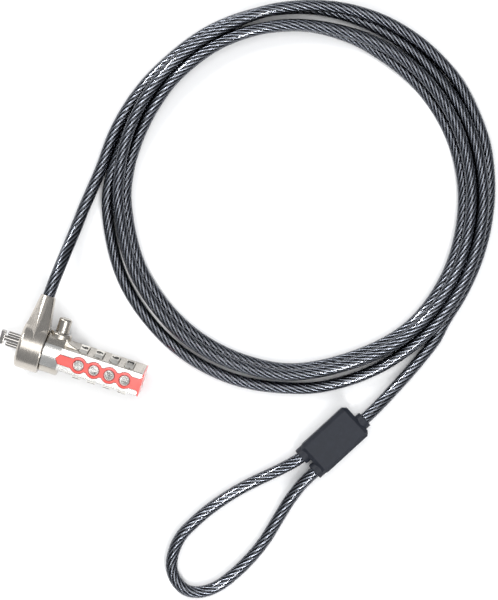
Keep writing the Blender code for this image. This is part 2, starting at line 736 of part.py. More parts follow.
def strip_outline(margin=0.0):
    """The strip in (X, Y): a pointed neck, a ring round each window and a flare at the rear."""
    half, ring = STRIP_HALF_WIDTH + margin, STRIP_RING_RADIUS + margin
    rear = STRIP_REAR_HALF_WIDTH + margin
    upper = [(STRIP_START - margin, 0), (STRIP_START + STRIP_POINT - margin, half)]
    waist = math.asin(half / ring)
    for i, station in enumerate(DIALS):
        last = math.asin(rear / ring) if i == DIAL_COUNT - 1 else waist
        upper += arc((station, 0), ring, math.pi - waist, last, 12)
    end = HEAD_END + END_PLATE_THICK / 2
    flare = 1.6 * MM
    upper += [(end - flare * 2, rear)]
    angles = [math.pi / 2 * i / 5 for i in range(6)]
    upper += [(end - flare * (1 - math.sin(a)), rear + flare * (1 - math.cos(a))) for a in angles]
    return upper + [(x, -y) for x, y in upper[:0:-1]]


def make_strip():
    strip = add("accent_strip", plate("accent_strip", strip_outline(), STRIP_BACK, STRIP_FRONT, "Z"), BODY, RED)
    outline = rounded(section(STRIP_FRONT - SEAT, -FRONT_Z), EDGE_ROUND)
    end_plate = plate("end_plate_form", outline, HEAD_END, HEAD_LENGTH)
    join(strip, add("end_plate_form", end_plate, BODY))
    for i, station in enumerate(DIALS):
        window = cylinder("strip_window", WINDOW_RADIUS, STRIP_BACK - MM, STRIP_FRONT + MM, 32)
        window = add(f"strip_window_{i + 1}", window, BODY, location=(station, 0, 0), rotation=UPWARD)
        cut(strip, window)
    screw_hole = cylinder("reset_hole", RESET_RADIUS + GAP, HEAD_END - MM, HEAD_LENGTH + MM, SMALL_ROUND)
    cut(strip, add("reset_hole", screw_hole, BODY))


def make_end_cap():
    outline = rounded(section(DECK_Z, -FRONT_Z), EDGE_ROUND)
    cap = add("end_cap", plate("end_cap", outline, END_CAP_START, HEAD_END - SEAT), BODY, NICKEL)
    cut(cap, add("reset_bore", cylinder("reset_bore", RESET_RADIUS + SEAT, 0, HEAD_LENGTH, SMALL_ROUND), BODY))
    face = HEAD_END - SEAT
    start = HOUSING_END - CAP_SCREW_LENGTH
    profile = [
        (start, 0),
        (start, CAP_SCREW_RADIUS),
        (face - 0.5 * MM, CAP_SCREW_RADIUS),
        (face - 0.05 * MM, CAP_SCREW_HEAD),
        (face - 0.05 * MM, 0),
    ]
    wider = [(s + SEAT if i > 2 else s, r + SEAT if r else 0) for i, (s, r) in enumerate(profile)]
    slot = ((face - 0.3 * MM, -0.2 * MM, -2 * MM), (face + MM, 0.2 * MM, 2 * MM))
    for side, name in ((1, "front"), (-1, "back")):
        place = (0, 0, side * CAP_SCREW_OFFSET)
        cut(cap, add(f"countersink_{name}", turned("countersink", wider, 16), BODY, location=place))
        screw = add(f"end_cap_screw_{name}", turned("end_cap_screw", profile, 16), BODY, STEEL, place)
        cut(screw, add(f"screw_slot_{name}", block("screw_slot", *slot), BODY, location=place))


# ---------------------------------------------------------------- nose and T-bar


def make_nose():
    nose = cylinder("nose_plate", NOSE_PLATE_RADIUS, NOSE_LENGTH, NECK_START - SEAT, 64)
    nose_plate = add("nose_plate", nose, BODY, BRIGHT)
    hole = cylinder("nose_hole", SPINDLE_RADIUS + SEAT, 0, NECK_START + MM, SMALL_ROUND)
    cut(nose_plate, add("nose_hole", hole, BODY))
    bevel = 0.25 * MM
    end = NECK_START + PIN_GRIP
    for side, name in ((1, "upper"), (-1, "lower")):
        place = (0, side * PIN_OFFSET, 0)
        pin_hole = cylinder("nose_pin_hole", PIN_RADIUS + SEAT, 0, NECK_START + MM, 20)
        cut(nose_plate, add(f"nose_pin_hole_{name}", pin_hole, BODY, location=place))
        profile = [
            (PIN_START, 0),
            (PIN_START, PIN_RADIUS - bevel),
            (PIN_START + bevel, PIN_RADIUS),
            (end, PIN_RADIUS),
            (end, 0),
        ]
        add(f"anchor_pin_{name}", turned("anchor_pin", profile, 20), BODY, CHROME, place)
    bush = turned(
        "spindle_bush",
        [
            (NECK_START + SEAT, SPINDLE_RADIUS + SEAT),
            (NECK_START + SEAT, BUSH_OUTER - SEAT),
            (NECK_START + BUSH_LENGTH, BUSH_OUTER - SEAT),
            (NECK_START + BUSH_LENGTH, SPINDLE_RADIUS + SEAT),
        ],
        SMALL_ROUND,
    )
    slot_room = PIN_OFFSET - PIN_RADIUS - 2 * SEAT
    bush_object = add("spindle_bush", bush, BODY, BRASS)
    for side in (-1, 1):
        low, high = sorted((side * slot_room, side * 3 * MM))
        flat = block("bush_flat", (NECK_START - MM, low, -3 * MM), (NECK_START + PIN_GRIP + 2 * GAP, high, 3 * MM))
        cut(bush_object, add(f"bush_flat_{side}", flat, BODY))


def make_t_bar():
    journal = PINION_START - 0.6 * MM
    spindle = turned(
        "t_bar",
        [
            (T_HEAD_THICK / 2, 0),
            (T_HEAD_THICK / 2, SPINDLE_RADIUS),
            (journal, SPINDLE_RADIUS),
            (journal, JOURNAL_RADIUS),
            (SPINDLE_END, JOURNAL_RADIUS),
            (SPINDLE_END, 0),
        ],
        SMALL_ROUND,
    )
    t_bar = add("t_bar", spindle, BODY, CHROME)
    half, tall = T_HEAD_SPAN / 2, T_HEAD_WIDTH / 2
    join(t_bar, add("t_head", block("t_head", (0, -half, -tall), (T_HEAD_THICK, half, tall), 0.3 * MM), BODY))

    tip, root = PINION_PITCH_RADIUS + TOOTH_TIP, PINION_PITCH_RADIUS - TOOTH_ROOT
    turn = 2 * math.pi / PINION_TEETH
    foot, point = 0.32 * turn, 0.143 * turn
    outline = []
    for i in range(PINION_TEETH):
        middle = -math.pi / 2 + i * turn
        for radius, away in ((root, -foot), (tip, -point), (tip, point), (root, foot)):
            outline.append((radius * math.cos(middle + away), radius * math.sin(middle + away)))
    gear = plate("t_bar_pinion", outline, PINION_START, PINION_START + PINION_WIDTH)
    pinion = add("t_bar_pinion", gear, BODY, STEEL)
    bore = cylinder("pinion_bore", JOURNAL_RADIUS + SEAT, 0, HEAD_LENGTH, SMALL_ROUND)
    cut(pinion, add("pinion_bore", bore, BODY))


# ---------------------------------------------------------------- button


def make_button():
    bevel = 0.5 * MM
    button = turned(
        "push_button",
        [
            (FLANGE_BOTTOM, 0),
            (FLANGE_BOTTOM, BUTTON_FLANGE_RADIUS),
            (FLANGE_TOP, BUTTON_FLANGE_RADIUS),
            (FLANGE_TOP, BUTTON_RADIUS),
            (BUTTON_TOP - bevel, BUTTON_RADIUS),
            (BUTTON_TOP - bevel * 0.3, BUTTON_RADIUS - bevel * 0.3),
            (BUTTON_TOP, BUTTON_RADIUS - bevel),
            (BUTTON_TOP, 0),
        ],
    )
    push_button = add("push_button", button, BUTTON_AXIS, NICKEL)
    room = cylinder("spring_room", BUTTON_SPRING_ROOM, 0, FLANGE_BOTTOM + BUTTON_SPRING_DEPTH, SMALL_ROUND)
    cut(push_button, add("spring_room", room, BUTTON_AXIS))
    inner = BUTTON_RADIUS + RUNNING
    bush = turned(
        "button_bush",
        [
            (BOSS_REACH - BUSH_HEIGHT, inner),
            (BOSS_REACH - BUSH_HEIGHT, inner + BUSH_WALL),
            (BOSS_REACH, inner + BUSH_WALL),
            (BOSS_REACH, inner),
        ],
    )
    add("button_bush", bush, BUTTON_AXIS, STEEL)


def make_rack():
    """The rack hangs from a foot under the button, and carries the cam that pushes the code shaft back."""
    back, face = -RACK_FACE - RACK_THICK, -RACK_FACE
    bar = block(
        "button_rack",
        (BUTTON_S - RACK_WIDTH / 2, -RACK_END, back),
        (BUTTON_S + RACK_WIDTH / 2, FOOT_TOP, face),
    )
    rack = add("button_rack", bar, BODY, STEEL)
    foot_bottom = FOOT_TOP - FOOT_THICK
    foot = [
        (foot_bottom, 0),
        (foot_bottom, BUTTON_FLANGE_RADIUS),
        (FOOT_TOP, BUTTON_FLANGE_RADIUS),
        (FOOT_TOP, 0),
    ]
    join(rack, add("rack_foot", turned("rack_foot", foot), BUTTON_AXIS))
    room = cylinder("foot_hole", BUTTON_SPRING_ROOM, foot_bottom - MM, FOOT_TOP + MM, SMALL_ROUND)
    cut(rack, add("foot_hole", room, BUTTON_AXIS))
    tip = -PINION_PITCH_RADIUS + TOOTH_TIP
    wide, narrow = TOOTH_PITCH * TOOTH_FOOT_SHARE, TOOTH_PITCH * TOOTH_TIP_SHARE
    for i in range(-1, 4):
        middle = (i + 0.5) * TOOTH_PITCH
        tooth = plate(
            "rack_tooth",
            [
                (middle - wide, face - 2 * SEAT),
                (middle + wide, face - 2 * SEAT),
                (middle + narrow, tip),
                (middle - narrow, tip),
            ],
            BUTTON_S - RACK_WIDTH / 2,
            BUTTON_S + RACK_WIDTH / 2,
        )
        join(rack, add(f"rack_tooth_{i + 2}", tooth, BODY))
    reach = SHAFT_TRAVEL / BUTTON_TRAVEL * CAM_SPARE * (CAM_TOP - CAM_LIFT)
    cam = [
        (CAM_START, -MM),
        (CAM_FACE, -MM),
        (CAM_FACE, CAM_LIFT),
        (CAM_FACE + reach, CAM_TOP),
        (CAM_FACE + reach, CAM_TOP + CAM_LIFT),
        (CAM_START, CAM_TOP + CAM_LIFT),
    ]
    join(rack, add("cam_form", plate("cam_form", cam, back, CAM_HALF, "Z"), BODY))
    arm = block("cam_arm", (BUTTON_S, 0, back), (CAM_START + 0.3 * MM, 3 * MM, face))
    join(rack, add("cam_arm", arm, BODY))


# ---------------------------------------------------------------- code shaft, dials and reset


def make_code_shaft():
    shoulder = SHAFT_SHOULDER
    shaft = turned(
        "code_shaft",
        [
            (SHAFT_NOSE, 0),
            (SHAFT_NOSE, 0.4 * MM),
            (SHAFT_NOSE + 1.6 * MM, SHAFT_RADIUS),
            (shoulder, SHAFT_RADIUS),
            (shoulder, SHAFT_END_RADIUS),
            (shoulder + SHAFT_END_LENGTH, SHAFT_END_RADIUS),
            (shoulder + SHAFT_END_LENGTH, 0),
        ],
        SMALL_ROUND,
    )
    code_shaft = add("code_shaft", shaft, BODY, STEEL)
    for i, station in enumerate(DIALS):
        rear = station - SLEEVE_LENGTH / 2 - FIN_LEAD
        fin = block("fin", (rear - FIN_THICK, -FIN_WIDTH / 2, 0), (rear, FIN_WIDTH / 2, FIN_RADIUS))
        join(code_shaft, add(f"shaft_fin_{i + 1}", fin, BODY))


def make_dials():
    for i, station in enumerate(DIALS):
        number = i + 1
        flats = [
            (DIAL_RADIUS * math.cos(a), DIAL_RADIUS * math.sin(a))
            for a in [math.pi / 2 + math.pi / DIAL_FACES * (2 * k + 1) for k in range(DIAL_FACES)]
        ]
        low, high = station - DIAL_WIDTH / 2, station + DIAL_WIDTH / 2
        dial = add(f"number_dial_{number}", plate("number_dial", rounded(flats, 0.8 * MM, 2), low, high), BODY, DIAL)
        bore = cylinder("dial_bore", SLEEVE_RADIUS + RUNNING, low - MM, high + MM, SMALL_ROUND)
        cut(dial, add(f"dial_bore_{number}", bore, BODY))

        front, rear = station - SLEEVE_LENGTH / 2, station + SLEEVE_LENGTH / 2
        web = SHAFT_RADIUS + GAP
        sleeve = turned(
            "code_sleeve",
            [
                (front, web),
                (front, SLEEVE_RADIUS),
                (rear, SLEEVE_RADIUS),
                (rear, SLEEVE_BORE),
                (front + WEB_THICK, SLEEVE_BORE),
                (front + WEB_THICK, web),
            ],
            SMALL_ROUND,
        )
        code_sleeve = add(f"code_sleeve_{number}", sleeve, BODY, BRASS)
        gate_top = SLEEVE_BORE - SEAT
        gate = block("gate", (front - MM, -GATE_WIDTH / 2, 0), (front + WEB_THICK + MM, GATE_WIDTH / 2, gate_top))
        cut(code_sleeve, add(f"gate_{number}", gate, BODY))


def make_leaf():
    low = (DIALS[0] - DIAL_PITCH / 2, -LEAF_WIDTH / 2, -POCKET_RADIUS)
    high = (DIALS[-1] + DIAL_PITCH / 2, LEAF_WIDTH / 2, -POCKET_RADIUS + LEAF_THICK)
    add("detent_leaf", block("detent_leaf", low, high), BODY, STEEL)


def make_reset_screw():
    flange = END_CAP_START - SEAT
    end = HEAD_LENGTH - 0.1 * MM
    screw = turned(
        "reset_screw",
        [
            (RESET_START, 0),
            (RESET_START, RESET_FLANGE_RADIUS),
            (flange, RESET_FLANGE_RADIUS),
            (flange, RESET_RADIUS),
            (end, RESET_RADIUS),
            (end, 0),
        ],
        SMALL_ROUND,
    )
    reset = add("reset_screw", screw, BODY, STEEL)
    slot = block("reset_slot", (end - 0.5 * MM, -0.25 * MM, -2 * MM), (end + MM, 0.25 * MM, 2 * MM))
    cut(reset, add("reset_slot", slot, BODY))


def make_springs():
    spring("shaft_spring", 1.3 * MM, SHAFT_SHOULDER + SEAT, RESET_START - SEAT, 3.5, BODY, STEEL)
    low = BRIDGE_BOTTOM + BRIDGE_THICK + SEAT
    high = FLANGE_BOTTOM + BUTTON_SPRING_DEPTH - SEAT
    spring("button_spring", 1.45 * MM, low, high, 7, BUTTON_AXIS, STEEL)


# ---------------------------------------------------------------- cable


def make_coil():
    low, high, turn = COIL_INNER, COIL_OUTER, COIL_ROUND
    corners = [(low, 0), (high, 0), (high, COIL_HEIGHT), (low, COIL_HEIGHT)]
    outline = [(station, radius) for radius, station in rounded(corners, turn, 2)]
    ring = turned("cable_coil", outline, 64)
    add("cable_coil", ring, None, CABLE, (*COIL_CENTRE, 0), UPWARD)


def make_cable():
    mouth = Vector((FERRULE_S - HEAD_LENGTH / 2, AXIS_Y + FERRULE_REACH, AXIS_Z))
    start = [mouth + Vector((0, along, 0)) * MM for along in (-5.4, 0, 6.8)]
    cable_tube("cable_lead", smooth_route([*start, *lying(LEAD_ROUTE)], 9), CABLE)
    cable_tube("cable_tail", smooth_route(lying(TAIL_ROUTE), 6), CABLE)
    cable_tube("cable_loop", smooth_route(lying(LOOP_ROUTE), 26), CABLE)


def make_loop_sleeve():
    length, width, height = LOOP_SLEEVE_LENGTH / 2, LOOP_SLEEVE_WIDTH / 2, LOOP_SLEEVE_Z
    form = block("loop_sleeve", (-length, -width, -height), (length, width, height), LOOP_SLEEVE_ROUND)
    sleeve = add("loop_sleeve", form, SLEEVE, RUBBER)
    neck = CABLE_BORE + 1.1 * MM
    ways = [("tail", 1, TAIL_OFFSET), ("leg_1", -1, LEG_OFFSET), ("leg_2", -1, -LEG_OFFSET)]
    for name, side, offset in ways:
        low, high = sorted((0, side * (length + LOOP_SLEEVE_NECK)))
        collar = cylinder("sleeve_neck", neck, low, high, SMALL_ROUND)
        join(sleeve, add(f"sleeve_neck_{name}", collar, SLEEVE, location=(0, offset, 0)))
    room = [side / 2 + GAP for side in LOOP_CRIMP_SIZE]
    cut(sleeve, add("crimp_room", block("crimp_room", [-r for r in room], room), SLEEVE))
    for name, side, offset in ways:
        low, high = sorted((0, side * 2 * length))
        way = cylinder("cable_way", CABLE_BORE, low, high, 20)
        cut(sleeve, add(f"cable_way_{name}", way, SLEEVE, location=(0, offset, 0)))
    half = [side / 2 for side in LOOP_CRIMP_SIZE]
    add("loop_crimp", block("loop_crimp", [-h for h in half], half, 1.2 * MM), SLEEVE, ALUMINIUM)


# ---------------------------------------------------------------- assembly

clear_scene()
PARTS = collection("laptop_cable_lock")
HELPERS = collection("cutters")

NICKEL = material("satin_nickel", (0.62, 0.59, 0.54), 0.32, 1.0)
BRIGHT = material("bright_nickel", (0.80, 0.78, 0.74), 0.22, 1.0)
CHROME = material("polished_steel", (0.72, 0.71, 0.70), 0.15, 1.0)
STEEL = material("spring_steel", (0.50, 0.50, 0.51), 0.35, 1.0)
BRASS = material("brass", (0.72, 0.55, 0.28), 0.35, 1.0)
ALUMINIUM = material("aluminium", (0.75, 0.76, 0.77), 0.40, 1.0)
DIAL = material("dial_silver", (0.66, 0.63, 0.58), 0.35, 1.0)
RED = material("coral_red", (0.87, 0.12, 0.10), 0.35, 0.0)
BLACK = material("black_washer", (0.02, 0.02, 0.02), 0.60, 0.0)
RUBBER = material("black_moulding", (0.02, 0.022, 0.028), 0.55, 0.0)
CABLE = material("smoke_cable", (0.10, 0.10, 0.11), 0.25, 0.0)

AXIS = empty("lock_axis", location=(-HEAD_LENGTH / 2, AXIS_Y, AXIS_Z))
BODY = empty("body_roll", AXIS, rotation=(BODY_ROLL, 0, 0))
FERRULE = empty("ferrule_axis", AXIS, (FERRULE_S, 0, 0), (0, 0, math.pi / 2))
BUTTON_AXIS = empty("button_axis", BODY, (BUTTON_S, 0, 0), (0, 0, math.pi / 2))
SLEEVE = empty("loop_sleeve_place", None, (*LOOP_SLEEVE_AT, LOOP_SLEEVE_Z), (0, 0, LOOP_SLEEVE_TURN))

make_collar()
make_washer()
make_housing()
make_cover()
make_strip()
make_end_cap()
make_nose()
make_t_bar()
make_button()
make_rack()
make_bridge()
make_code_shaft()
make_dials()
make_leaf()
make_reset_screw()
make_springs()
make_coil()
make_cable()
make_loop_sleeve()
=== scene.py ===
"""Looks of a laptop cable lock: a push-button combination head, a swivel collar and a coiled steel cable.

Everything is in metres in the row frame of the CAD model. The head's own pieces are built in its frame, where X is
the station along the lock axis from the T-bar's tip, Z leaves the front face and Y runs towards the push button.
"""

from __future__ import annotations

import logging
import math
from collections.abc import Callable, Sequence
from dataclasses import dataclass, field
from enum import Enum

import bmesh
import bpy
from mathutils import Matrix, Vector

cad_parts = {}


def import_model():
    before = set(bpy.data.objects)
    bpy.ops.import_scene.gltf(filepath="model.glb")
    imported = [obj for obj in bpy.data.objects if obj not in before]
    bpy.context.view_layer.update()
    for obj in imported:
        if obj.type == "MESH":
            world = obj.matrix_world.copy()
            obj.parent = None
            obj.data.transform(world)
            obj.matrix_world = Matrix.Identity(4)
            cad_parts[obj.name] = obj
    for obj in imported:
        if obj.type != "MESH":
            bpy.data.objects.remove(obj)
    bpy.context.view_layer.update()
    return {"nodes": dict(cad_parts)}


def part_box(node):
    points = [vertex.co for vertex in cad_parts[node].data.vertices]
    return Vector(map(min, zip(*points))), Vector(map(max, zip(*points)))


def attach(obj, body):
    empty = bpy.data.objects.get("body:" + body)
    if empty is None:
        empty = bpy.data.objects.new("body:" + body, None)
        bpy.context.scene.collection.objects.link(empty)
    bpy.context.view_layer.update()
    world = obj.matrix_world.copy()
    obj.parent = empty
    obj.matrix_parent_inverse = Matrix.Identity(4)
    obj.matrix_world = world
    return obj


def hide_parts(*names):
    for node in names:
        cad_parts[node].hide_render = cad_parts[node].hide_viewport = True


LOG = logging.getLogger("cable_lock")

MM = 0.001
TAU = 2 * math.pi
Point2 = tuple[float, float]
Colour = tuple[float, float, float]


# ---------------------------------------------------------------- shader maths


class Socket:
    """An output socket of a material's tree, with arithmetic that adds Math nodes."""

    def __init__(self, tree: ShaderTree, output: bpy.types.NodeSocket) -> None:
        """Wraps an output socket.

        Args:
            tree: The tree that new Math nodes go into.
            output: The socket itself.
        """
        self.tree = tree
        self.output = output

    def _math(self, operation: str, first: Socket | float, second: Socket | float) -> Socket:
        """Adds a Math node.

        Args:
            operation: The Math node's operation.
            first: Its first value.
            second: Its second value.

        Returns:
            The node's result.
        """
        return self.tree.node("ShaderNodeMath", {0: first, 1: second}, operation=operation)

    def __add__(self, other: Socket | float) -> Socket:
        """The sum."""
        return self._math("ADD", self, other)

    def __radd__(self, other: float) -> Socket:
        """The sum, with a number in front."""
        return self._math("ADD", other, self)

    def __sub__(self, other: Socket | float) -> Socket:
        """The difference."""
        return self._math("SUBTRACT", self, other)

    def __rsub__(self, other: float) -> Socket:
        """The difference from a number."""
        return self._math("SUBTRACT", other, self)

    def __mul__(self, other: Socket | float) -> Socket:
        """The product."""
        return self._math("MULTIPLY", self, other)

    def __rmul__(self, other: float) -> Socket:
        """The product, with a number in front."""
        return self._math("MULTIPLY", other, self)

    def __pow__(self, other: float) -> Socket:
        """The power."""
        return self._math("POWER", self, other)


class ShaderTree:
    """A material's node tree in the making."""

    def __init__(self, name: str) -> None:
        """Makes an empty material.

        Args:
            name: The material's name.
        """
        self.material = bpy.data.materials.new(name)
        self.material.use_nodes = True
        self.nodes = self.material.node_tree.nodes
        self.links = self.material.node_tree.links
        self.nodes.clear()

    def node(
        self,
        kind: str,
        inputs: dict[str | int, Socket | float | Sequence[float]] | None = None,
        output: str | int = 0,
        stops: Sequence[tuple[float, Colour]] = (),
        **settings: str | float | bool,
    ) -> Socket:
        """Adds one node.

        Args:
            kind: The node's type.
            inputs: What its sockets take, by name or place: a link or a value.
            output: Which output is wanted.
            stops: The stops of a colour ramp.
            settings: The node's own settings, which are set first.

        Returns:
            The wanted output.
        """
        made = self.nodes.new(kind)
        for name, value in settings.items():
            setattr(made, name, value)
        if stops:
            ramp = made.color_ramp.elements
            while len(ramp) < len(stops):
                ramp.new(0.5)
            for element, (place, colour) in zip(ramp, stops):
                element.position = place
                element.color = (*colour, 1.0)
        for key, value in (inputs or {}).items():
            if isinstance(value, Socket):
                self.links.new(value.output, made.inputs[key])
            else:
                made.inputs[key].default_value = value
        return Socket(self, made.outputs[output])

    def noise(self, vector: Socket, scale: float, detail: float = 3.0, roughness: float = 0.55) -> Socket:
        """Adds a Noise Texture and gives its value.

        Args:
            vector: Where it is read.
            scale: Its scale.
            detail: How many octaves it has.
            roughness: How strong the finer ones are.

        Returns:
            The noise, from 0 to 1.
        """
        inputs = {"Vector": vector, "Scale": scale, "Detail": detail, "Roughness": roughness}
        return self.node("ShaderNodeTexNoise", inputs, "Fac")

    def stretched(self, scale: Sequence[float]) -> Socket:
        """Gives Object coordinates, scaled along each axis.

        Args:
            scale: The factor along X, Y and Z.

        Returns:
            The scaled coordinates.
        """
        place = self.node("ShaderNodeTexCoord", output="Object")
        return self.node("ShaderNodeMapping", {"Vector": place, "Scale": scale}, vector_type="POINT")

    def blend(self, share: Socket | float, first: Socket | Colour, second: Socket | Colour) -> Socket:
        """Mixes two colours.

        Args:
            share: How much of the second there is.
            first: A colour or a link.
            second: A colour or a link.

        Returns:
            The mixed colour.
        """
        pair = [c if isinstance(c, Socket) else (*c, 1.0) for c in (first, second)]
        return self.node("ShaderNodeMix", {0: share, 6: pair[0], 7: pair[1]}, 2, data_type="RGBA")

    def close(self, surface: Socket) -> bpy.types.Material:
        """Joins the surface to the output.

        Args:
            surface: The surface shader.

        Returns:
            The finished material.
        """
        self.links.new(surface.output, self.nodes.new("ShaderNodeOutputMaterial").inputs["Surface"])
        return self.material


# ---------------------------------------------------------------- finishes


class Grain(Enum):
    """Which way a metal is brushed."""

    ALONG_X = (220.0, 5200.0, 5200.0)
    AROUND_X = (5200.0, 260.0, 260.0)
    ALONG_Y = (5200.0, 220.0, 5200.0)
    BLASTED = (2600.0, 2600.0, 2600.0)


@dataclass(frozen=True)
class Metal:
    """A plated or plain metal with a brushed or blasted surface."""

    name: str
    colour: Colour
    roughness: float
    grain: Grain
    brush: float = 0.25
    cloud: float = 0.06
    coat: float = 0.0

    def build(self) -> bpy.types.Material:
        """Makes the material.

        Returns:
            The finished material.
        """
        tree = ShaderTree(self.name)
        streaks = tree.noise(tree.stretched(self.grain.value), 1.0, 4.0, 0.6)
        clouds = tree.noise(tree.stretched((1.0, 1.0, 1.0)), 140.0, 3.0)
        dark = tuple(c * (1 - 2.2 * self.cloud) for c in self.colour)
        light = tuple(min(1.0, c * (1 + self.cloud)) for c in self.colour)
        mixed = tree.blend(clouds * 0.5 + streaks * 0.5, dark, light)
        roughness = (streaks - 0.5) * 0.18 + (clouds - 0.5) * 0.14 + self.roughness
        bump = tree.node("ShaderNodeBump", {"Strength": self.brush, "Distance": 0.00004, "Height": streaks})
        surface = tree.node(
            "ShaderNodeBsdfPrincipled",
            {
                "Base Color": mixed,
                "Metallic": 1.0,
                "Roughness": roughness,
                "Normal": bump,
                "Coat Weight": self.coat,
                "Coat Roughness": 0.12,
            },
        )
        return tree.close(surface)


@dataclass(frozen=True)
class Enamel:
    """A smooth gloss paint with a faint orange peel and a deeper tone that comes and goes at random."""

    name: str
    colour: Colour
    deep: Colour
    roughness: float

    def build(self) -> bpy.types.Material:
        """Makes the material.

        Returns:
            The finished material.
        """
        tree = ShaderTree(self.name)
        place = tree.stretched((1.0, 1.0, 1.0))
        peel = tree.noise(place, 2200.0, 2.0)
        drift = tree.noise(place, 160.0, 2.0)
        mixed = tree.blend(drift * 0.6, self.colour, self.deep)
        bump = tree.node("ShaderNodeBump", {"Strength": 0.12, "Distance": 0.00003, "Height": peel})
        surface = tree.node(
            "ShaderNodeBsdfPrincipled",
            {
                "Base Color": mixed,
                "Roughness": (drift - 0.5) * 0.12 + self.roughness,
                "Normal": bump,
                "Coat Weight": 0.6,
                "Coat Roughness": 0.08,
            },
        )
        return tree.close(surface)


@dataclass(frozen=True)
class Moulding:
    """A dark moulded plastic or rubber with a fine spark-eroded grain."""

    name: str
    colour: Colour
    worn: Colour
    roughness: float
    grain: float = 0.3
    shine: float = 0.22

    def build(self) -> bpy.types.Material:
        """Makes the material.

        Returns:
            The finished material.
        """
        tree = ShaderTree(self.name)
        place = tree.stretched((1.0, 1.0, 1.0))
        spark = tree.noise(place, 3400.0, 3.0, 0.7)
        scuff = tree.noise(place, 260.0, 4.0, 0.65)
        mixed = tree.blend(scuff**2.0, self.colour, self.worn)
        bump = tree.node("ShaderNodeBump", {"Strength": self.grain, "Distance": 0.00006, "Height": spark})
        surface = tree.node(
            "ShaderNodeBsdfPrincipled",
            {
                "Base Color": mixed,
                "Roughness": (scuff - 0.5) * 0.25 + self.roughness,
                "Normal": bump,
                "Specular IOR Level": self.shine,
            },
        )
        return tree.close(surface)


@dataclass(frozen=True)
class StrandSteel:
    """Zinc-plated rope wire, with shade painted into the grooves between strands. The crest attribute is 1 on a
    strand's crown and 0 in the groove beside it.
    """

    name: str = "rope_strand_steel"
    crown: Colour = (0.56, 0.57, 0.60)
    # near-black painted shade for the grooves between strands
    groove: Colour = (0.006, 0.007, 0.009)
    roughness: float = 0.27

    def build(self) -> bpy.types.Material:
        """Makes the material.

        Returns:
            The finished material.
        """
        tree = ShaderTree(self.name)
        crest = tree.node("ShaderNodeAttribute", output="Fac", attribute_name="crest")
        place = tree.stretched((1.0, 1.0, 1.0))
        drift = tree.noise(place, 120.0, 3.0)
        wires = tree.noise(place, 2400.0, 2.0)
        # painted shade: the ramp darkens the colour from each crown down its flanks to near black in the groove
        depth = tree.node(
            "ShaderNodeValToRGB",
            {"Fac": crest},
            "Color",
            stops=[(0.35, self.groove), (0.78, tuple(c * 0.2 for c in self.crown)), (0.98, self.crown)],
        )
        mixed = tree.blend(drift * 0.45, depth, self.groove)
        bump = tree.node("ShaderNodeBump", {"Strength": 0.3, "Distance": 0.00005, "Height": wires})
        surface = tree.node(
            "ShaderNodeBsdfPrincipled",
            {
                "Base Color": mixed,
                "Metallic": 0.92,
                "Roughness": (wires - 0.5) * 0.2 + self.roughness,
                "Normal": bump,
            },
        )
        return tree.close(surface)


@dataclass(frozen=True)
class ClearJacket:
    """Smoke-tinted clear vinyl: what is under it shows, and its surface carries the highlights."""

    name: str = "clear_smoke_vinyl"
    tint: Colour = (0.80, 0.82, 0.86)
    roughness: float = 0.07

    def build(self) -> bpy.types.Material:
        """Makes the material.

        Returns:
            The finished material.
        """
        tree = ShaderTree(self.name)
        place = tree.stretched((1.0, 1.0, 1.0))
        haze = tree.noise(place, 90.0, 3.0)
        ripple = tree.noise(place, 420.0, 2.0)
        bump = tree.node("ShaderNodeBump", {"Strength": 0.25, "Distance": 0.0002, "Height": ripple})
        clear = tree.node("ShaderNodeBsdfTransparent", {"Color": (*self.tint, 1.0)})
        gloss = tree.node(
            "ShaderNodeBsdfPrincipled",
            {
                "Base Color": (0.85, 0.87, 0.92, 1.0),
                "Metallic": 1.0,
                "Roughness": (haze - 0.5) * 0.06 + self.roughness,
                "Normal": bump,
            },
        )
        edge = tree.node("ShaderNodeFresnel", {"IOR": 1.42, "Normal": bump})
        surface = tree.node("ShaderNodeMixShader", {0: edge, 1: clear, 2: gloss})
        return tree.close(surface)


# ---------------------------------------------------------------- mesh work


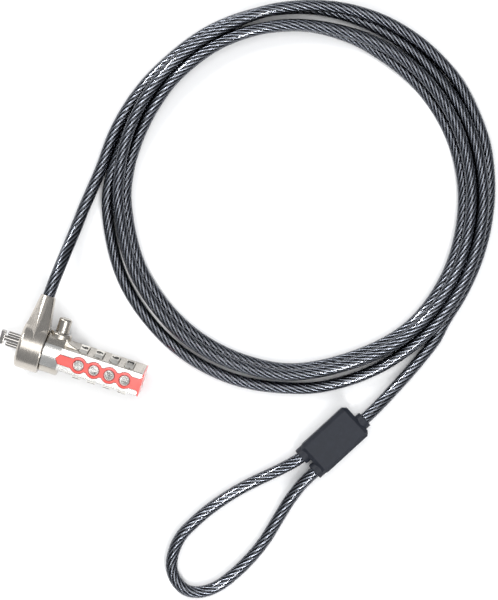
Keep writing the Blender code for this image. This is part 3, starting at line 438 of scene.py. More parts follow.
@dataclass
class Workshop:
    """Makes closed meshes, cuts and joins them, and turns them into pieces that ride on the CAD bodies."""

    crease: float = math.radians(32)
    made: list[str] = field(default_factory=list)

    def object_of(self, name: str, mesh: bpy.types.Mesh) -> bpy.types.Object:
        """Links a mesh into the scene.

        Args:
            name: The object's name.
            mesh: Its mesh.

        Returns:
            The new object.
        """
        made = bpy.data.objects.new(name, mesh)
        bpy.context.scene.collection.objects.link(made)
        return made

    def settle(self, source: bpy.types.Object) -> bpy.types.Mesh:
        """Applies an object's modifiers and removes the object.

        Args:
            source: A mesh or curve object with its modifiers.

        Returns:
            The plain mesh.
        """
        bpy.context.view_layer.update()
        graph = bpy.context.evaluated_depsgraph_get()
        mesh = bpy.data.meshes.new_from_object(source.evaluated_get(graph), depsgraph=graph)
        bpy.data.objects.remove(source, do_unlink=True)
        return mesh

    def closed(self, bm: bmesh.types.BMesh, name: str) -> bpy.types.Mesh:
        """Merges doubles, turns the faces outwards and makes a mesh.

        Args:
            bm: The shape, which is freed.
            name: The mesh's name.

        Returns:
            The mesh.
        """
        bmesh.ops.remove_doubles(bm, verts=bm.verts, dist=1e-7)
        bmesh.ops.delete(bm, geom=[vert for vert in bm.verts if not vert.link_faces], context="VERTS")
        bmesh.ops.recalc_face_normals(bm, faces=bm.faces)
        mesh = bpy.data.meshes.new(name)
        bm.to_mesh(mesh)
        bm.free()
        return mesh

    def turned(self, profile: Sequence[Point2], segments: int = 96) -> bpy.types.Mesh:
        """Turns an outline about X.

        Args:
            profile: (station, radius) pairs of a closed outline.
            segments: How many sides it has.

        Returns:
            The closed mesh.
        """
        bm = bmesh.new()
        rings: list[list[bmesh.types.BMVert]] = []
        for station, radius in profile:
            count = segments if radius > 1e-9 else 1
            angles = [TAU * i / segments for i in range(count)]
            rings.append([bm.verts.new((station, radius * math.cos(a), radius * math.sin(a))) for a in angles])
        for first, second in zip(rings, rings[1:] + rings[:1]):
            if len(first) == len(second) == 1:
                continue
            for i in range(segments):
                j = (i + 1) % segments
                near = [first[i % len(first)], first[j % len(first)]]
                corners = [*near, second[j % len(second)], second[i % len(second)]]
                bm.faces.new(list(dict.fromkeys(corners)))
        return self.closed(bm, "turned")

    def plate(
        self, outline: Sequence[Point2], low: float, high: float, along: str = "X", edge: float = 0.0
    ) -> bpy.types.Mesh:
        """Gives a flat outline a thickness, with its edges rounded.

        Args:
            outline: Points in (Y, Z) if it is thick along X, or in (X, Y) if it is thick along Z.
            low: Where the plate starts.
            high: Where it ends.
            along: The axis of its thickness.
            edge: The radius of its edges.

        Returns:
            The closed mesh.
        """
        curve = bpy.data.curves.new("plate", "CURVE")
        curve.dimensions = "2D"
        curve.fill_mode = "BOTH"
        curve.extrude = (high - low) / 2 - edge
        curve.bevel_depth = edge
        curve.bevel_resolution = 2
        curve.offset = -edge
        spline = curve.splines.new("POLY")
        spline.points.add(len(outline) - 1)
        for point, (a, b) in zip(spline.points, outline):
            point.co = (a, b, 0, 1)
        spline.use_cyclic_u = True
        source = bpy.data.objects.new("plate", curve)
        bpy.context.scene.collection.objects.link(source)
        mesh = self.settle(source)
        middle = (low + high) / 2
        bm = bmesh.new()
        bm.from_mesh(mesh)
        for vert in bm.verts:
            a, b, thick = vert.co
            vert.co = (middle + thick, a, b) if along == "X" else (a, b, middle + thick)
        return self.closed(bm, "plate")

    def block(self, low: Sequence[float], high: Sequence[float], edge: float = 0.0, steps: int = 3) -> bpy.types.Mesh:
        """Makes a box between two corners, with its edges rounded.

        Args:
            low: The lowest corner.
            high: The highest corner.
            edge: The radius of its edges.
            steps: How many faces each round has.

        Returns:
            The closed mesh.
        """
        bm = bmesh.new()
        bmesh.ops.create_cube(bm, size=1)
        for vert in bm.verts:
            vert.co = [a + (b - a) * (c + 0.5) for a, b, c in zip(low, high, vert.co)]
        if edge:
            bmesh.ops.bevel(bm, geom=bm.edges[:], offset=edge, segments=steps, affect="EDGES", profile=0.5)
        return self.closed(bm, "block")

    def combine(
        self,
        body: bpy.types.Mesh,
        steps: Sequence[tuple[str, bpy.types.Mesh, Matrix]],
        edge: float = 0.0,
        limit: float = math.radians(35),
    ) -> bpy.types.Mesh:
        """Joins meshes to a body and cuts others from it, then rounds its sharp edges.

        Args:
            body: The mesh to start from.
            steps: ("UNION" or "DIFFERENCE", mesh, its place) for each step in turn.
            edge: The radius of the rounded edges.
            limit: The smallest angle of an edge that is rounded.

        Returns:
            The finished mesh.
        """
        target = self.object_of("target", body)
        tools = []
        for operation, mesh, place in steps:
            tool = self.object_of("tool", mesh)
            tool.matrix_world = place
            tools.append(tool)
            step = target.modifiers.new("step", "BOOLEAN")
            step.operation = operation
            step.object = tool
            step.solver = "EXACT"
        if edge:
            weld = target.modifiers.new("weld", "WELD")
            weld.merge_threshold = 0.00002
            bevel = target.modifiers.new("edge", "BEVEL")
            bevel.width = edge
            bevel.segments = 2
            bevel.limit_method = "ANGLE"
            bevel.angle_limit = limit
            bevel.use_clamp_overlap = True
        mesh = self.settle(target)
        for tool in tools:
            bpy.data.objects.remove(tool, do_unlink=True)
        return mesh

    def piece(
        self,
        name: str,
        mesh: bpy.types.Mesh,
        finish: bpy.types.Material,
        body: str,
        place: Matrix | None = None,
        stands_for: Sequence[str] = (),
        slot: str = "",
    ) -> bpy.types.Object:
        """Makes a shown piece of a mesh, at the origin, and lets it ride on a body.

        Args:
            name: The piece's name.
            mesh: Its mesh, in its own frame.
            finish: Its material.
            body: The CAD body that it rides on.
            place: Its frame in the row frame.
            stands_for: The CAD nodes that it replaces.
            slot: The name of a material slot; it is not used.

        Returns:
            The piece.
        """
        mesh.transform(place or Matrix.Identity(4))
        mesh.name = name
        mesh.materials.clear()
        mesh.materials.append(finish)
        mesh.shade_smooth()
        mesh.set_sharp_from_angle(angle=self.crease)
        made = self.object_of(name, mesh)
        level = made.modifiers.new("level", "WEIGHTED_NORMAL")
        level.keep_sharp = True
        mesh = self.settle(made)
        mesh.name = name
        made = self.object_of(name, mesh)
        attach(made, body)
        if stands_for:
            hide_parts(*stands_for)
        self.made.append(name)
        LOG.info("%s: %d faces on %s", name, len(mesh.polygons), body)
        return made


def arc(centre: Point2, radius: float, start: float, end: float, steps: int) -> list[Point2]:
    """Points of an arc.

    Args:
        centre: Its centre.
        radius: Its radius.
        start: The first angle, in radians.
        end: The last angle, in radians.
        steps: How many chords it has.

    Returns:
        The points.
    """
    angles = [start + (end - start) * i / steps for i in range(steps + 1)]
    return [(centre[0] + radius * math.cos(a), centre[1] + radius * math.sin(a)) for a in angles]


def rounded(outline: Sequence[Point2], radius: float, steps: int = 5) -> list[Point2]:
    """Rounds an outline's corners.

    Args:
        outline: The corners, in turn.
        radius: The radius at each.
        steps: How many chords each arc has.

    Returns:
        The rounded outline.
    """
    made: list[Point2] = []
    points = [Vector(p) for p in outline]
    for before, corner, after in zip(points[-1:] + points[:-1], points, points[1:] + points[:1]):
        into, out = (before - corner).normalized(), (after - corner).normalized()
        half = into.angle(out) / 2
        reach = radius / math.tan(half)
        centre = corner + (into + out).normalized() * radius / math.sin(half)
        start = corner + into * reach - centre
        turn = -start.angle_signed(corner + out * reach - centre)
        for step in range(steps + 1):
            spot = centre + Matrix.Rotation(turn * step / steps, 2) @ start
            made.append((spot.x, spot.y))
    return made


def softened(profile: Sequence[tuple[float, float, float]], steps: int = 4) -> list[Point2]:
    """Rounds a turned outline's corners, each by its own radius.

    Args:
        profile: (station, radius, corner radius) for each corner in turn.
        steps: How many chords each arc has.

    Returns:
        The (station, radius) pairs.
    """
    points = [Vector(p[:2]) for p in profile]
    made: list[Point2] = []
    for k, (corner, (_, _, fillet)) in enumerate(zip(points, profile)):
        before, after = points[k - 1], points[(k + 1) % len(points)]
        if fillet <= 0:
            made.append((corner.x, corner.y))
            continue
        into, out = (before - corner).normalized(), (after - corner).normalized()
        for step in range(steps + 1):
            share = step / steps
            spot = corner + into * fillet * (1 - share) ** 2 + out * fillet * share**2
            made.append((spot.x, spot.y))
    return made


# ---------------------------------------------------------------- the lock head's frame


@dataclass(frozen=True)
class HeadFrame:
    """Where the head's own frame lies in the row frame, and its main stations and heights."""

    roll: float = math.radians(8.4)
    length: float = 62.7 * MM
    collar_radius: float = 10.2 * MM
    front: float = 8.6 * MM
    deck: float = 7.75 * MM
    barrel_start: float = 19.5 * MM
    barrel_end: float = 27.3 * MM
    half_front: float = 4.8 * MM
    half_back: float = 6.0 * MM
    first_dial: float = 35.4 * MM
    dial_pitch: float = 6.7 * MM
    dial_count: int = 4
    ferrule_station: float = 14.0 * MM
    button_station: float = 24.2 * MM

    @property
    def axis(self) -> Matrix:
        """The lock axis's frame, which the collar keeps."""
        low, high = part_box("nose_plate")
        return Matrix.Translation((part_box("t_bar")[0].x, (low.y + high.y) / 2, (low.z + high.z) / 2))

    @property
    def body(self) -> Matrix:
        """The frame that is rolled with the lock's body."""
        return self.axis @ Matrix.Rotation(self.roll, 4, "X")

    @property
    def ferrule(self) -> Matrix:
        """X along the ferrule, from the lock axis."""
        return self.axis @ Matrix.Translation((self.ferrule_station, 0, 0)) @ Matrix.Rotation(TAU / 4, 4, "Z")

    @property
    def button(self) -> Matrix:
        """X along the button, from the lock axis."""
        return self.body @ Matrix.Translation((self.button_station, 0, 0)) @ Matrix.Rotation(TAU / 4, 4, "Z")

    @property
    def dials(self) -> list[float]:
        """The stations of the dials."""
        return [self.first_dial + i * self.dial_pitch for i in range(self.dial_count)]

    def upright(self, station: float) -> Matrix:
        """Turns a body made along X to lie along the head's Z at a station.

        Args:
            station: Where it stands.

        Returns:
            Its place in the head's frame.
        """
        return Matrix.Translation((station, 0, 0)) @ Matrix.Rotation(-TAU / 4, 4, "Y")

    def section(self, front: float, half_front: float | None = None) -> list[Point2]:
        """The dial section's outline in (Y, Z): flat front and back, with sides that lean out towards the back.

        Args:
            front: The height of its front.
            half_front: Half the width there, if it isn't the CAD one.

        Returns:
            The outline.
        """
        slope = (self.half_back - self.half_front) / (2 * self.front)
        top = (half_front or self.half_front) + (self.front - front) * slope
        return [(-self.half_back, -self.front), (self.half_back, -self.front), (top, front), (-top, front)]


# ---------------------------------------------------------------- collar and nose


@dataclass
class SwivelCollar:
    """The ring that turns on the neck, and the ferrule that the cable leaves by."""

    shop: Workshop
    head: HeadFrame
    start: float = 8.8 * MM
    end: float = 19.2 * MM
    neck: float = 6.1 * MM
    counterbore: float = 7.7 * MM
    counterbore_depth: float = 1.55 * MM
    reach: float = 22.2 * MM
    mouth: float = 3.2 * MM
    cable_bore: float = 2.65 * MM
    ridge_foot: float = 3.8 * MM
    facet_foot: float = 8.3 * MM

    def ferrule_form(self) -> bpy.types.Mesh:
        """The cone from the mouth down to the ring, with a facet on each side of its ridge.

        Returns:
            The closed mesh.
        """
        bm = bmesh.new()
        for radius, along in ((self.mouth - 0.35 * MM, self.reach), (self.mouth, self.reach - 0.35 * MM)):
            for i in range(96):
                a = TAU * i / 96
                bm.verts.new((self.head.ferrule_station + radius * math.cos(a), along, radius * math.sin(a)))
        radius = self.head.collar_radius
        for side in (-1, 1):
            ridge = math.sqrt(radius**2 - self.ridge_foot**2)
            edge = math.sqrt((radius - 0.45 * MM) ** 2 - self.facet_foot**2)
            bm.verts.new((self.head.ferrule_station, self.ridge_foot, side * ridge))
            bm.verts.new((self.start + 0.45 * MM, self.facet_foot, side * edge))
            bm.verts.new((self.end - 0.22 * MM, self.facet_foot, side * edge))
        bmesh.ops.convex_hull(bm, input=bm.verts[:])
        return self.shop.closed(bm, "ferrule")

    def build(self, finish: bpy.types.Material, washer: bpy.types.Material) -> None:
        """Makes the collar and the washer behind it.

        Args:
            finish: The collar's material.
            washer: The washer's material.
        """
        radius = self.head.collar_radius
        ring = self.shop.turned(
            softened(
                [
                    (self.start, 0, 0),
                    (self.start, radius - 0.9 * MM, 0.25 * MM),
                    (self.start + 0.9 * MM, radius, 0.5 * MM),
                    (self.end - 0.2 * MM, radius, 0.4 * MM),
                    (self.end, radius - 0.45 * MM, 0.2 * MM),
                    (self.end, 0, 0),
                ]
            ),
            160,
        )
        step = self.start + self.counterbore_depth
        bore = self.shop.turned(
            [
                (self.start - MM, 0),
                (self.start - MM, self.counterbore),
                (step, self.counterbore),
                (step, self.neck),
                (self.end + MM, self.neck),
                (self.end + MM, 0),
            ]
        )
        end = self.reach + MM
        way = self.shop.turned([(0, 0), (0, self.cable_bore), (end, self.cable_bore), (end, 0)], 64)
        here = Matrix.Identity(4)
        along = self.head.axis.inverted() @ self.head.ferrule
        collar = self.shop.combine(
            ring,
            [("UNION", self.ferrule_form(), here), ("DIFFERENCE", bore, here), ("DIFFERENCE", way, along)],
            edge=0.22 * MM,
            limit=math.radians(24),
        )
        self.shop.piece(
            "swivel_collar_shell", collar, finish, "cable_end", self.head.axis, ["swivel_collar"], "satin_nickel"
        )
        inner, outer = self.neck, self.neck + 2.0 * MM
        low, high = self.end + 0.05 * MM, self.end + 0.25 * MM
        ring = self.shop.turned(
            softened([(low, inner, 0), (low, outer, 0.06 * MM), (high, outer, 0.06 * MM), (high, inner, 0)], 3), 128
        )
        self.shop.piece("gap_washer", ring, washer, "cable_end", self.head.axis, ["swivel_washer"], "black_washer")


@dataclass
class Nose:
    """What goes into the laptop's slot: the plate, the two pins and the T-bar."""

    shop: Workshop
    head: HeadFrame
    plate_start: float = 8.8 * MM
    plate_end: float = 10.2 * MM
    plate_radius: float = 7.6 * MM
    pin_radius: float = 0.9 * MM
    pin_offset: float = 2.35 * MM
    pin_start: float = 2.9 * MM
    pin_end: float = 12.05 * MM
    spindle_radius: float = 1.2 * MM
    spindle_end: float = 22.2 * MM
    journal_end: float = 26.2 * MM
    head_size: tuple[float, float, float] = (2.0 * MM, 6.0 * MM, 2.5 * MM)

    def build(self, plate: bpy.types.Material, steel: bpy.types.Material) -> None:
        """Makes the nose's pieces.

        Args:
            plate: The nose plate's material.
            steel: The material of the pins and the T-bar.
        """
        disc = self.shop.turned(
            softened(
                [
                    (self.plate_start, 0, 0),
                    (self.plate_start, self.plate_radius, 0.25 * MM),
                    (self.plate_end, self.plate_radius, 0.1 * MM),
                    (self.plate_end, 0, 0),
                ]
            ),
            128,
        )
        holes = [("DIFFERENCE", self.rod(self.spindle_radius + 0.05 * MM), Matrix.Identity(4))]
        for side in (-1, 1):
            place = Matrix.Translation((0, side * self.pin_offset, 0))
            holes.append(("DIFFERENCE", self.rod(self.pin_radius + 0.05 * MM), place))
        disc = self.shop.combine(disc, holes)
        self.shop.piece("nose_face_plate", disc, plate, "lock_body", self.head.body, ["nose_plate"], "bright_nickel")
        for side, name in ((1, "upper"), (-1, "lower")):
            pin = self.shop.turned(
                softened(
                    [
                        (self.pin_start, 0, 0),
                        (self.pin_start, self.pin_radius, 0.4 * MM),
                        (self.pin_end, self.pin_radius, 0.1 * MM),
                        (self.pin_end, 0, 0),
                    ]
                ),
                48,
            )
            place = self.head.body @ Matrix.Translation((0, side * self.pin_offset, 0))
            node = f"anchor_pin_{name}"
            self.shop.piece(f"slot_pin_{name}", pin, steel, "lock_body", place, [node], "polished_steel")
        thick, span, width = self.head_size
        spindle = self.shop.turned(
            [
                (thick / 2, 0),
                (thick / 2, self.spindle_radius),
                (self.spindle_end, self.spindle_radius),
                (self.spindle_end, self.spindle_radius - 0.2 * MM),
                (self.journal_end, self.spindle_radius - 0.2 * MM),
                (self.journal_end, 0),
            ],
            48,
        )
        head = self.shop.block((0, -span / 2, -width / 2), (thick, span / 2, width / 2), 0.3 * MM, 4)
        t_bar = self.shop.combine(spindle, [("UNION", head, Matrix.Identity(4))], 0.08 * MM, math.radians(60))
        self.shop.piece("t_bar_bright", t_bar, steel, "spindle", self.head.body, ["t_bar"], "polished_steel")

    def rod(self, radius: float) -> bpy.types.Mesh:
        """A straight cutter through the nose plate.

        Args:
            radius: Its radius.

        Returns:
            The closed mesh.
        """
        high = self.plate_end + MM
        return self.shop.turned([(0, 0), (0, radius), (high, radius), (high, 0)], 48)


# ---------------------------------------------------------------- body, cover and strip


@dataclass
class LockBody:
    """The housing with its barrel, dial section and button boss, and the plates on it."""

    shop: Workshop
    head: HeadFrame
    neck: float = 6.0 * MM
    neck_start: float = 10.25 * MM
    housing_end: float = 61.15 * MM
    head_end: float = 62.05 * MM
    dial_room: float = 7.8 * MM
    dial_slot: float = 4.1 * MM
    boss_radius: float = 4.6 * MM
    boss_reach: float = 9.6 * MM
    bush_radius: float = 4.0 * MM
    button_floor: float = 3.01 * MM
    foot_room: float = 3.68 * MM
    fairing: float = 7.0 * MM
    window: float = 2.1 * MM
    strip_start: float = 25.6 * MM
    strip_half: float = 1.9 * MM
    strip_rear: float = 2.3 * MM
    strip_ring: float = 3.3 * MM
    strip_point: float = 1.4 * MM
    strip_front: float = 8.75 * MM
    strip_back: float = 8.3 * MM
    edge: float = 0.5 * MM

    def fairing_form(self) -> bpy.types.Mesh:
        """The concave run-out behind the boss.

        Returns:
            The closed mesh.
        """
        foot = self.head.half_back - self.edge
        start, top = self.head.button_station + self.boss_radius * 0.8, self.boss_reach - 1.4 * MM
        angles = [TAU / 4 * i / 20 for i in range(21)]
        run_out = [
            (start + self.fairing * (1 - math.cos(a)), foot + (top - foot) * (1 - math.sin(a))) for a in angles
        ]
        front = self.head.button_station - MM
        outline = [(front, 0), (start + self.fairing, 0), *run_out[::-1], (front, top)]
        height = self.boss_radius * 0.8
        return self.shop.plate(outline, -height, height, "Z", 0.5 * MM)

    def housing(self, finish: bpy.types.Material) -> None:
        """Makes the housing.

        Args:
            finish: Its material.
        """
        head, here = self.head, Matrix.Identity(4)
        on_button = head.body.inverted() @ head.button
        neck = self.shop.turned(
            [
                (self.neck_start, 0),
                (self.neck_start, self.neck),
                (head.barrel_start + MM, self.neck),
                (head.barrel_start + MM, 0),
            ]
        )
        barrel = self.shop.turned(
            softened(
                [
                    (head.barrel_start, 0, 0),
                    (head.barrel_start, head.front - 0.2 * MM, 0.15 * MM),
                    (head.barrel_start + 0.4 * MM, head.front, 0.2 * MM),
                    (head.barrel_end - 0.4 * MM, head.front, 0.2 * MM),
                    (head.barrel_end, head.front - 0.4 * MM, 0.2 * MM),
                    (head.barrel_end, 0, 0),
                ]
            ),
            160,
        )
        section = self.shop.plate(rounded(head.section(head.deck), self.edge), head.barrel_end - MM, self.housing_end)
        boss = self.shop.turned(
            softened(
                [
                    (0, 0, 0),
                    (0, self.boss_radius, 0),
                    (self.boss_reach - 0.5 * MM, self.boss_radius, 0.3 * MM),
                    (self.boss_reach, self.boss_radius - 0.5 * MM, 0.15 * MM),
                    (self.boss_reach, 0, 0),
                ]
            ),
            96,
        )
        steps = [
            ("UNION", barrel, here),
            ("UNION", section, here),
            ("UNION", boss, on_button),
            ("UNION", self.fairing_form(), here),
            ("DIFFERENCE", self.tongue_seat(), here),
        ]
        for station in head.dials:
            low, high = station - self.dial_slot / 2, station + self.dial_slot / 2
            pocket = [(low, 0), (low, self.dial_room), (high, self.dial_room), (high, 0)]
            steps.append(("DIFFERENCE", self.shop.turned(pocket, 96), here))
            steps.append(("DIFFERENCE", self.window_cutter(6.0 * MM), head.upright(station)))
        steps += [("DIFFERENCE", room, here) for room in self.rooms()]
        well = self.shop.turned(
            [
                (self.button_floor, 0),
                (self.button_floor, self.foot_room),
                (self.boss_reach - 1.65 * MM, self.foot_room),
                (self.boss_reach - 1.65 * MM, self.bush_radius),
                (self.boss_reach + MM, self.bush_radius),
                (self.boss_reach + MM, 0),
            ],
            64,
        )
        steps.append(("DIFFERENCE", well, on_button))
        mesh = self.shop.combine(neck, steps, edge=0.12 * MM, limit=math.radians(50))
        self.shop.piece("lock_housing_shell", mesh, finish, "lock_body", head.body, ["lock_housing"], "satin_nickel")

    def rooms(self) -> list[bpy.types.Mesh]:
        """The hollows for the spindle, the pinion and its rack, the cam and the code shaft.

        Returns:
            The cutters, in the head's frame.
        """
        front, spindle_end, cam_face = 20.9 * MM, 26.2 * MM, 27.1 * MM
        gap, back, travel = 0.3 * MM, -3.6 * MM, 2.985 * MM
        wall, spindle_way, code_way = 0.5 * MM, 1.95 * MM, 4.1 * MM
        half, button, rear = self.head.half_front - wall, self.head.button_station, self.housing_end + gap
        spindle = [(0, 0), (0, spindle_way), (button, spindle_way), (button, 0)]
        code = [(cam_face, 0), (cam_face, code_way), (rear, code_way), (rear, 0)]
        return [
            self.shop.block((front, -half, back), (spindle_end + gap, half, self.head.deck)),
            self.shop.block((front, -2.7 * MM - travel, back), (spindle_end + gap, 0, -0.95 * MM)),
            self.shop.block(
                (spindle_end - gap, -travel - 1.6 * MM, back), (cam_face + 1.8 * MM, 4.6 * MM, 1.3 * MM)
            ),
            self.shop.turned(spindle, 48),
            self.shop.turned(code, 64),
        ]

    def sector(self, inner: float, outer: float, margin: float = 0.0) -> list[Point2]:
        """The outline in (Y, Z) of the cover's tongue, which follows the barrel.

        Args:
            inner: Its inner radius.
            outer: Its outer radius.
            margin: How much wider it is on each side.

        Returns:
            The outline.
        """
        half = math.asin(self.head.half_front / self.head.front) + margin / self.head.front
        up = TAU / 4
        return arc((0, 0), outer, up - half, up + half, 24) + arc((0, 0), inner, up + half, up - half, 24)

    def tongue_seat(self) -> bpy.types.Mesh:
        """The seat of the cover's tongue in the barrel."""
        return self.shop.plate(self.sector(self.head.deck, self.head.front + MM, 0.1 * MM), 0, self.head.barrel_end)

    def cover(self, finish: bpy.types.Material) -> None:
        """Makes the front cover, with its tongue on the barrel.

        Args:
            finish: Its material.
        """
        head, here = self.head, Matrix.Identity(4)
        half, back = head.half_front, head.deck + 0.05 * MM
        corners = [(-half, head.front), (-half, back), (half, back), (half, head.front)]
        flat = self.shop.plate(rounded(corners, 0.25 * MM, 3), head.barrel_end - 0.5 * MM, self.head_end - 0.05 * MM)
        tongue = self.shop.plate(
            self.sector(back, head.front), head.barrel_start + 0.02 * MM, head.barrel_end - 0.05 * MM
        )
        recess = self.shop.plate(self.strip_outline(0.3 * MM), self.strip_back - 0.05 * MM, head.front + MM, "Z")
        steps = [("UNION", tongue, here), ("DIFFERENCE", recess, here)]
        for station in head.dials:
            steps.append(("DIFFERENCE", self.window_cutter(back - MM), head.upright(station)))
        mesh = self.shop.combine(flat, steps, edge=0.06 * MM, limit=math.radians(50))
        self.shop.piece("front_cover_plate", mesh, finish, "lock_body", head.body, ["front_cover"], "bright_nickel")

    def window_cutter(self, low: float) -> bpy.types.Mesh:
        """A round cutter for a dial's window.

        Args:
            low: Where it starts along its axis.

        Returns:
            The closed mesh.
        """
        high = self.strip_front + MM
        return self.shop.turned([(low, 0), (low, self.window), (high, self.window), (high, 0)], 64)

    def strip_outline(self, margin: float = 0.0) -> list[Point2]:
        """The strip in (X, Y): a pointed neck, a ring round each window and a flare at the rear.

        Args:
            margin: How much larger it is all round.

        Returns:
            The outline.
        """
        half, ring, rear = self.strip_half + margin, self.strip_ring + margin, self.strip_rear + margin
        upper = [(self.strip_start - margin, 0), (self.strip_start + self.strip_point - margin, half)]
        waist = math.asin(half / ring)
        for i, station in enumerate(self.head.dials):
            last = math.asin(rear / ring) if i == self.head.dial_count - 1 else waist
            upper += arc((station, 0), ring, math.pi - waist, last, 24)
        end, flare = self.head_end + 0.3 * MM, 1.6 * MM
        upper.append((end - flare * 2, rear))
        for i in range(9):
            a = TAU / 4 * i / 8
            upper.append((end - flare * (1 - math.sin(a)), rear + flare * (1 - math.cos(a))))
        return upper + [(x, -y) for x, y in upper[:0:-1]]

    def strip(self, finish: bpy.types.Material, deep: bpy.types.Material) -> None:
        """Makes the coloured strip with its rings and its rear plate.

        Args:
            finish: Its material.
            deep: The dark red painted as shade on its border and on the windows' rims.
        """
        head, here = self.head, Matrix.Identity(4)
        flat = self.shop.plate(self.strip_outline(), self.strip_back, self.strip_front, "Z")
        rear = self.shop.plate(
            rounded(head.section(self.strip_front - 0.05 * MM), self.edge), self.head_end, head.length, edge=0.12 * MM
        )
        steps = [("UNION", rear, here)]
        for station in head.dials:
            steps.append(("DIFFERENCE", self.window_cutter(self.strip_back - MM), head.upright(station)))
        hole = self.shop.turned([(0.05, 0), (0.05, 1.6 * MM), (0.07, 1.6 * MM), (0.07, 0)], 48)
        steps.append(("DIFFERENCE", hole, here))
        mesh = self.shop.combine(flat, steps, edge=0.1 * MM, limit=math.radians(50))
        self.shop.piece("coral_strip", mesh, finish, "lock_body", head.body, ["accent_strip"], "coral_red")
        # raised dark red rings round the windows: painted shade of the windows' walls
        low, high = self.strip_back + 0.3 * MM, self.strip_front + 0.12 * MM
        for i, station in enumerate(head.dials):
            inner, outer = self.window, self.window + 0.42 * MM
            rim = self.shop.turned(
                softened([(low, inner, 0), (low, outer, 0), (high, outer, 0.08 * MM), (high, inner, 0.08 * MM)], 3), 72
            )
            self.shop.piece(f"window_shade_rim_{i + 1}", rim, deep, "lock_body", head.body @ head.upright(station))
        # a dark red sheet a little wider than the strip, showing as a dark line round its edge: painted shade of the
        # gap in the cover's recess
        base = self.shop.plate(self.strip_outline(0.26 * MM), self.strip_back, self.strip_back + 0.33 * MM, "Z")
        holes = [
            ("DIFFERENCE", self.window_cutter(self.strip_back - MM), head.upright(station)) for station in head.dials
        ]
        mesh = self.shop.combine(base, holes)
        self.shop.piece("strip_gap_shade", mesh, deep, "lock_body", head.body)

    def end_cap(self, finish: bpy.types.Material) -> None:
        """Makes the cap between the housing and the rear plate.

        Args:
            finish: Its material.
        """
        outline = rounded(self.head.section(self.head.deck), self.edge)
        cap = self.shop.plate(outline, self.housing_end + 0.05 * MM, self.head_end - 0.05 * MM, edge=0.08 * MM)
        bore = self.shop.turned([(0.05, 0), (0.05, 1.35 * MM), (0.07, 1.35 * MM), (0.07, 0)], 48)
        mesh = self.shop.combine(cap, [("DIFFERENCE", bore, Matrix.Identity(4))])
        self.shop.piece("rear_cap", mesh, finish, "lock_body", self.head.body, ["end_cap"], "satin_nickel")


@dataclass
class PushButton:
    """The button, the ring that it stands in, and the reset screw in the rear end."""

    shop: Workshop
    head: HeadFrame
    radius: float = 2.75 * MM
    top: float = 15.7 * MM
    bottom: float = 7.0 * MM
    flange: float = 3.48 * MM
    spring_room: float = 1.9 * MM
    ring_low: float = 8.0 * MM
    ring_top: float = 9.6 * MM

    def build(self, finish: bpy.types.Material, ring_finish: bpy.types.Material, screw: bpy.types.Material) -> None:
        """Makes the three pieces.

        Args:
            finish: The button's material.
            ring_finish: The ring's material.
            screw: The reset screw's material.
        """
        button = self.shop.turned(
            softened(
                [
                    (self.bottom, self.spring_room, 0),
                    (self.bottom, self.flange, 0),
                    (self.bottom + 0.9 * MM, self.flange, 0),
                    (self.bottom + 0.9 * MM, self.radius, 0),
                    (self.top - 0.55 * MM, self.radius, 0.25 * MM),
                    (self.top, self.radius - 0.55 * MM, 0.2 * MM),
                    (self.top, 0, 0),
                    (self.bottom + 4.0 * MM, 0, 0),
                    (self.bottom + 4.0 * MM, self.spring_room, 0),
                ]
            ),
            96,
        )
        self.shop.piece(
            "push_button_cap", button, finish, "button", self.head.button, ["push_button"], "satin_nickel"
        )
        inner, outer = self.radius + 0.1 * MM, self.radius + 1.2 * MM
        ring = self.shop.turned(
            softened(
                [
                    (self.ring_low, inner, 0),
                    (self.ring_low, outer, 0),
                    (self.ring_top, outer, 0.08 * MM),
                    (self.ring_top, inner, 0.3 * MM),
                ]
            ),
            96,
        )
        self.shop.piece(
            "button_guide_ring", ring, ring_finish, "lock_body", self.head.button, ["button_bush"], "spring_steel"
        )
        end = self.head.length - 0.1 * MM
        shank = self.shop.turned(
            softened(
                [
                    (60.3 * MM, 0, 0),
                    (60.3 * MM, 2.4 * MM, 0),
                    (61.15 * MM, 2.4 * MM, 0),
                    (61.15 * MM, 1.3 * MM, 0),
                    (end, 1.3 * MM, 0.15 * MM),
                    (end, 0, 0),
                ]
            ),
            64,
        )
        slot = self.shop.block((end - 0.5 * MM, -0.25 * MM, -2 * MM), (end + MM, 0.25 * MM, 2 * MM))
        mesh = self.shop.combine(shank, [("DIFFERENCE", slot, Matrix.Identity(4))])
        self.shop.piece("reset_screw_head", mesh, screw, "reset", self.head.body, ["reset_screw"], "spring_steel")


# ---------------------------------------------------------------- dials


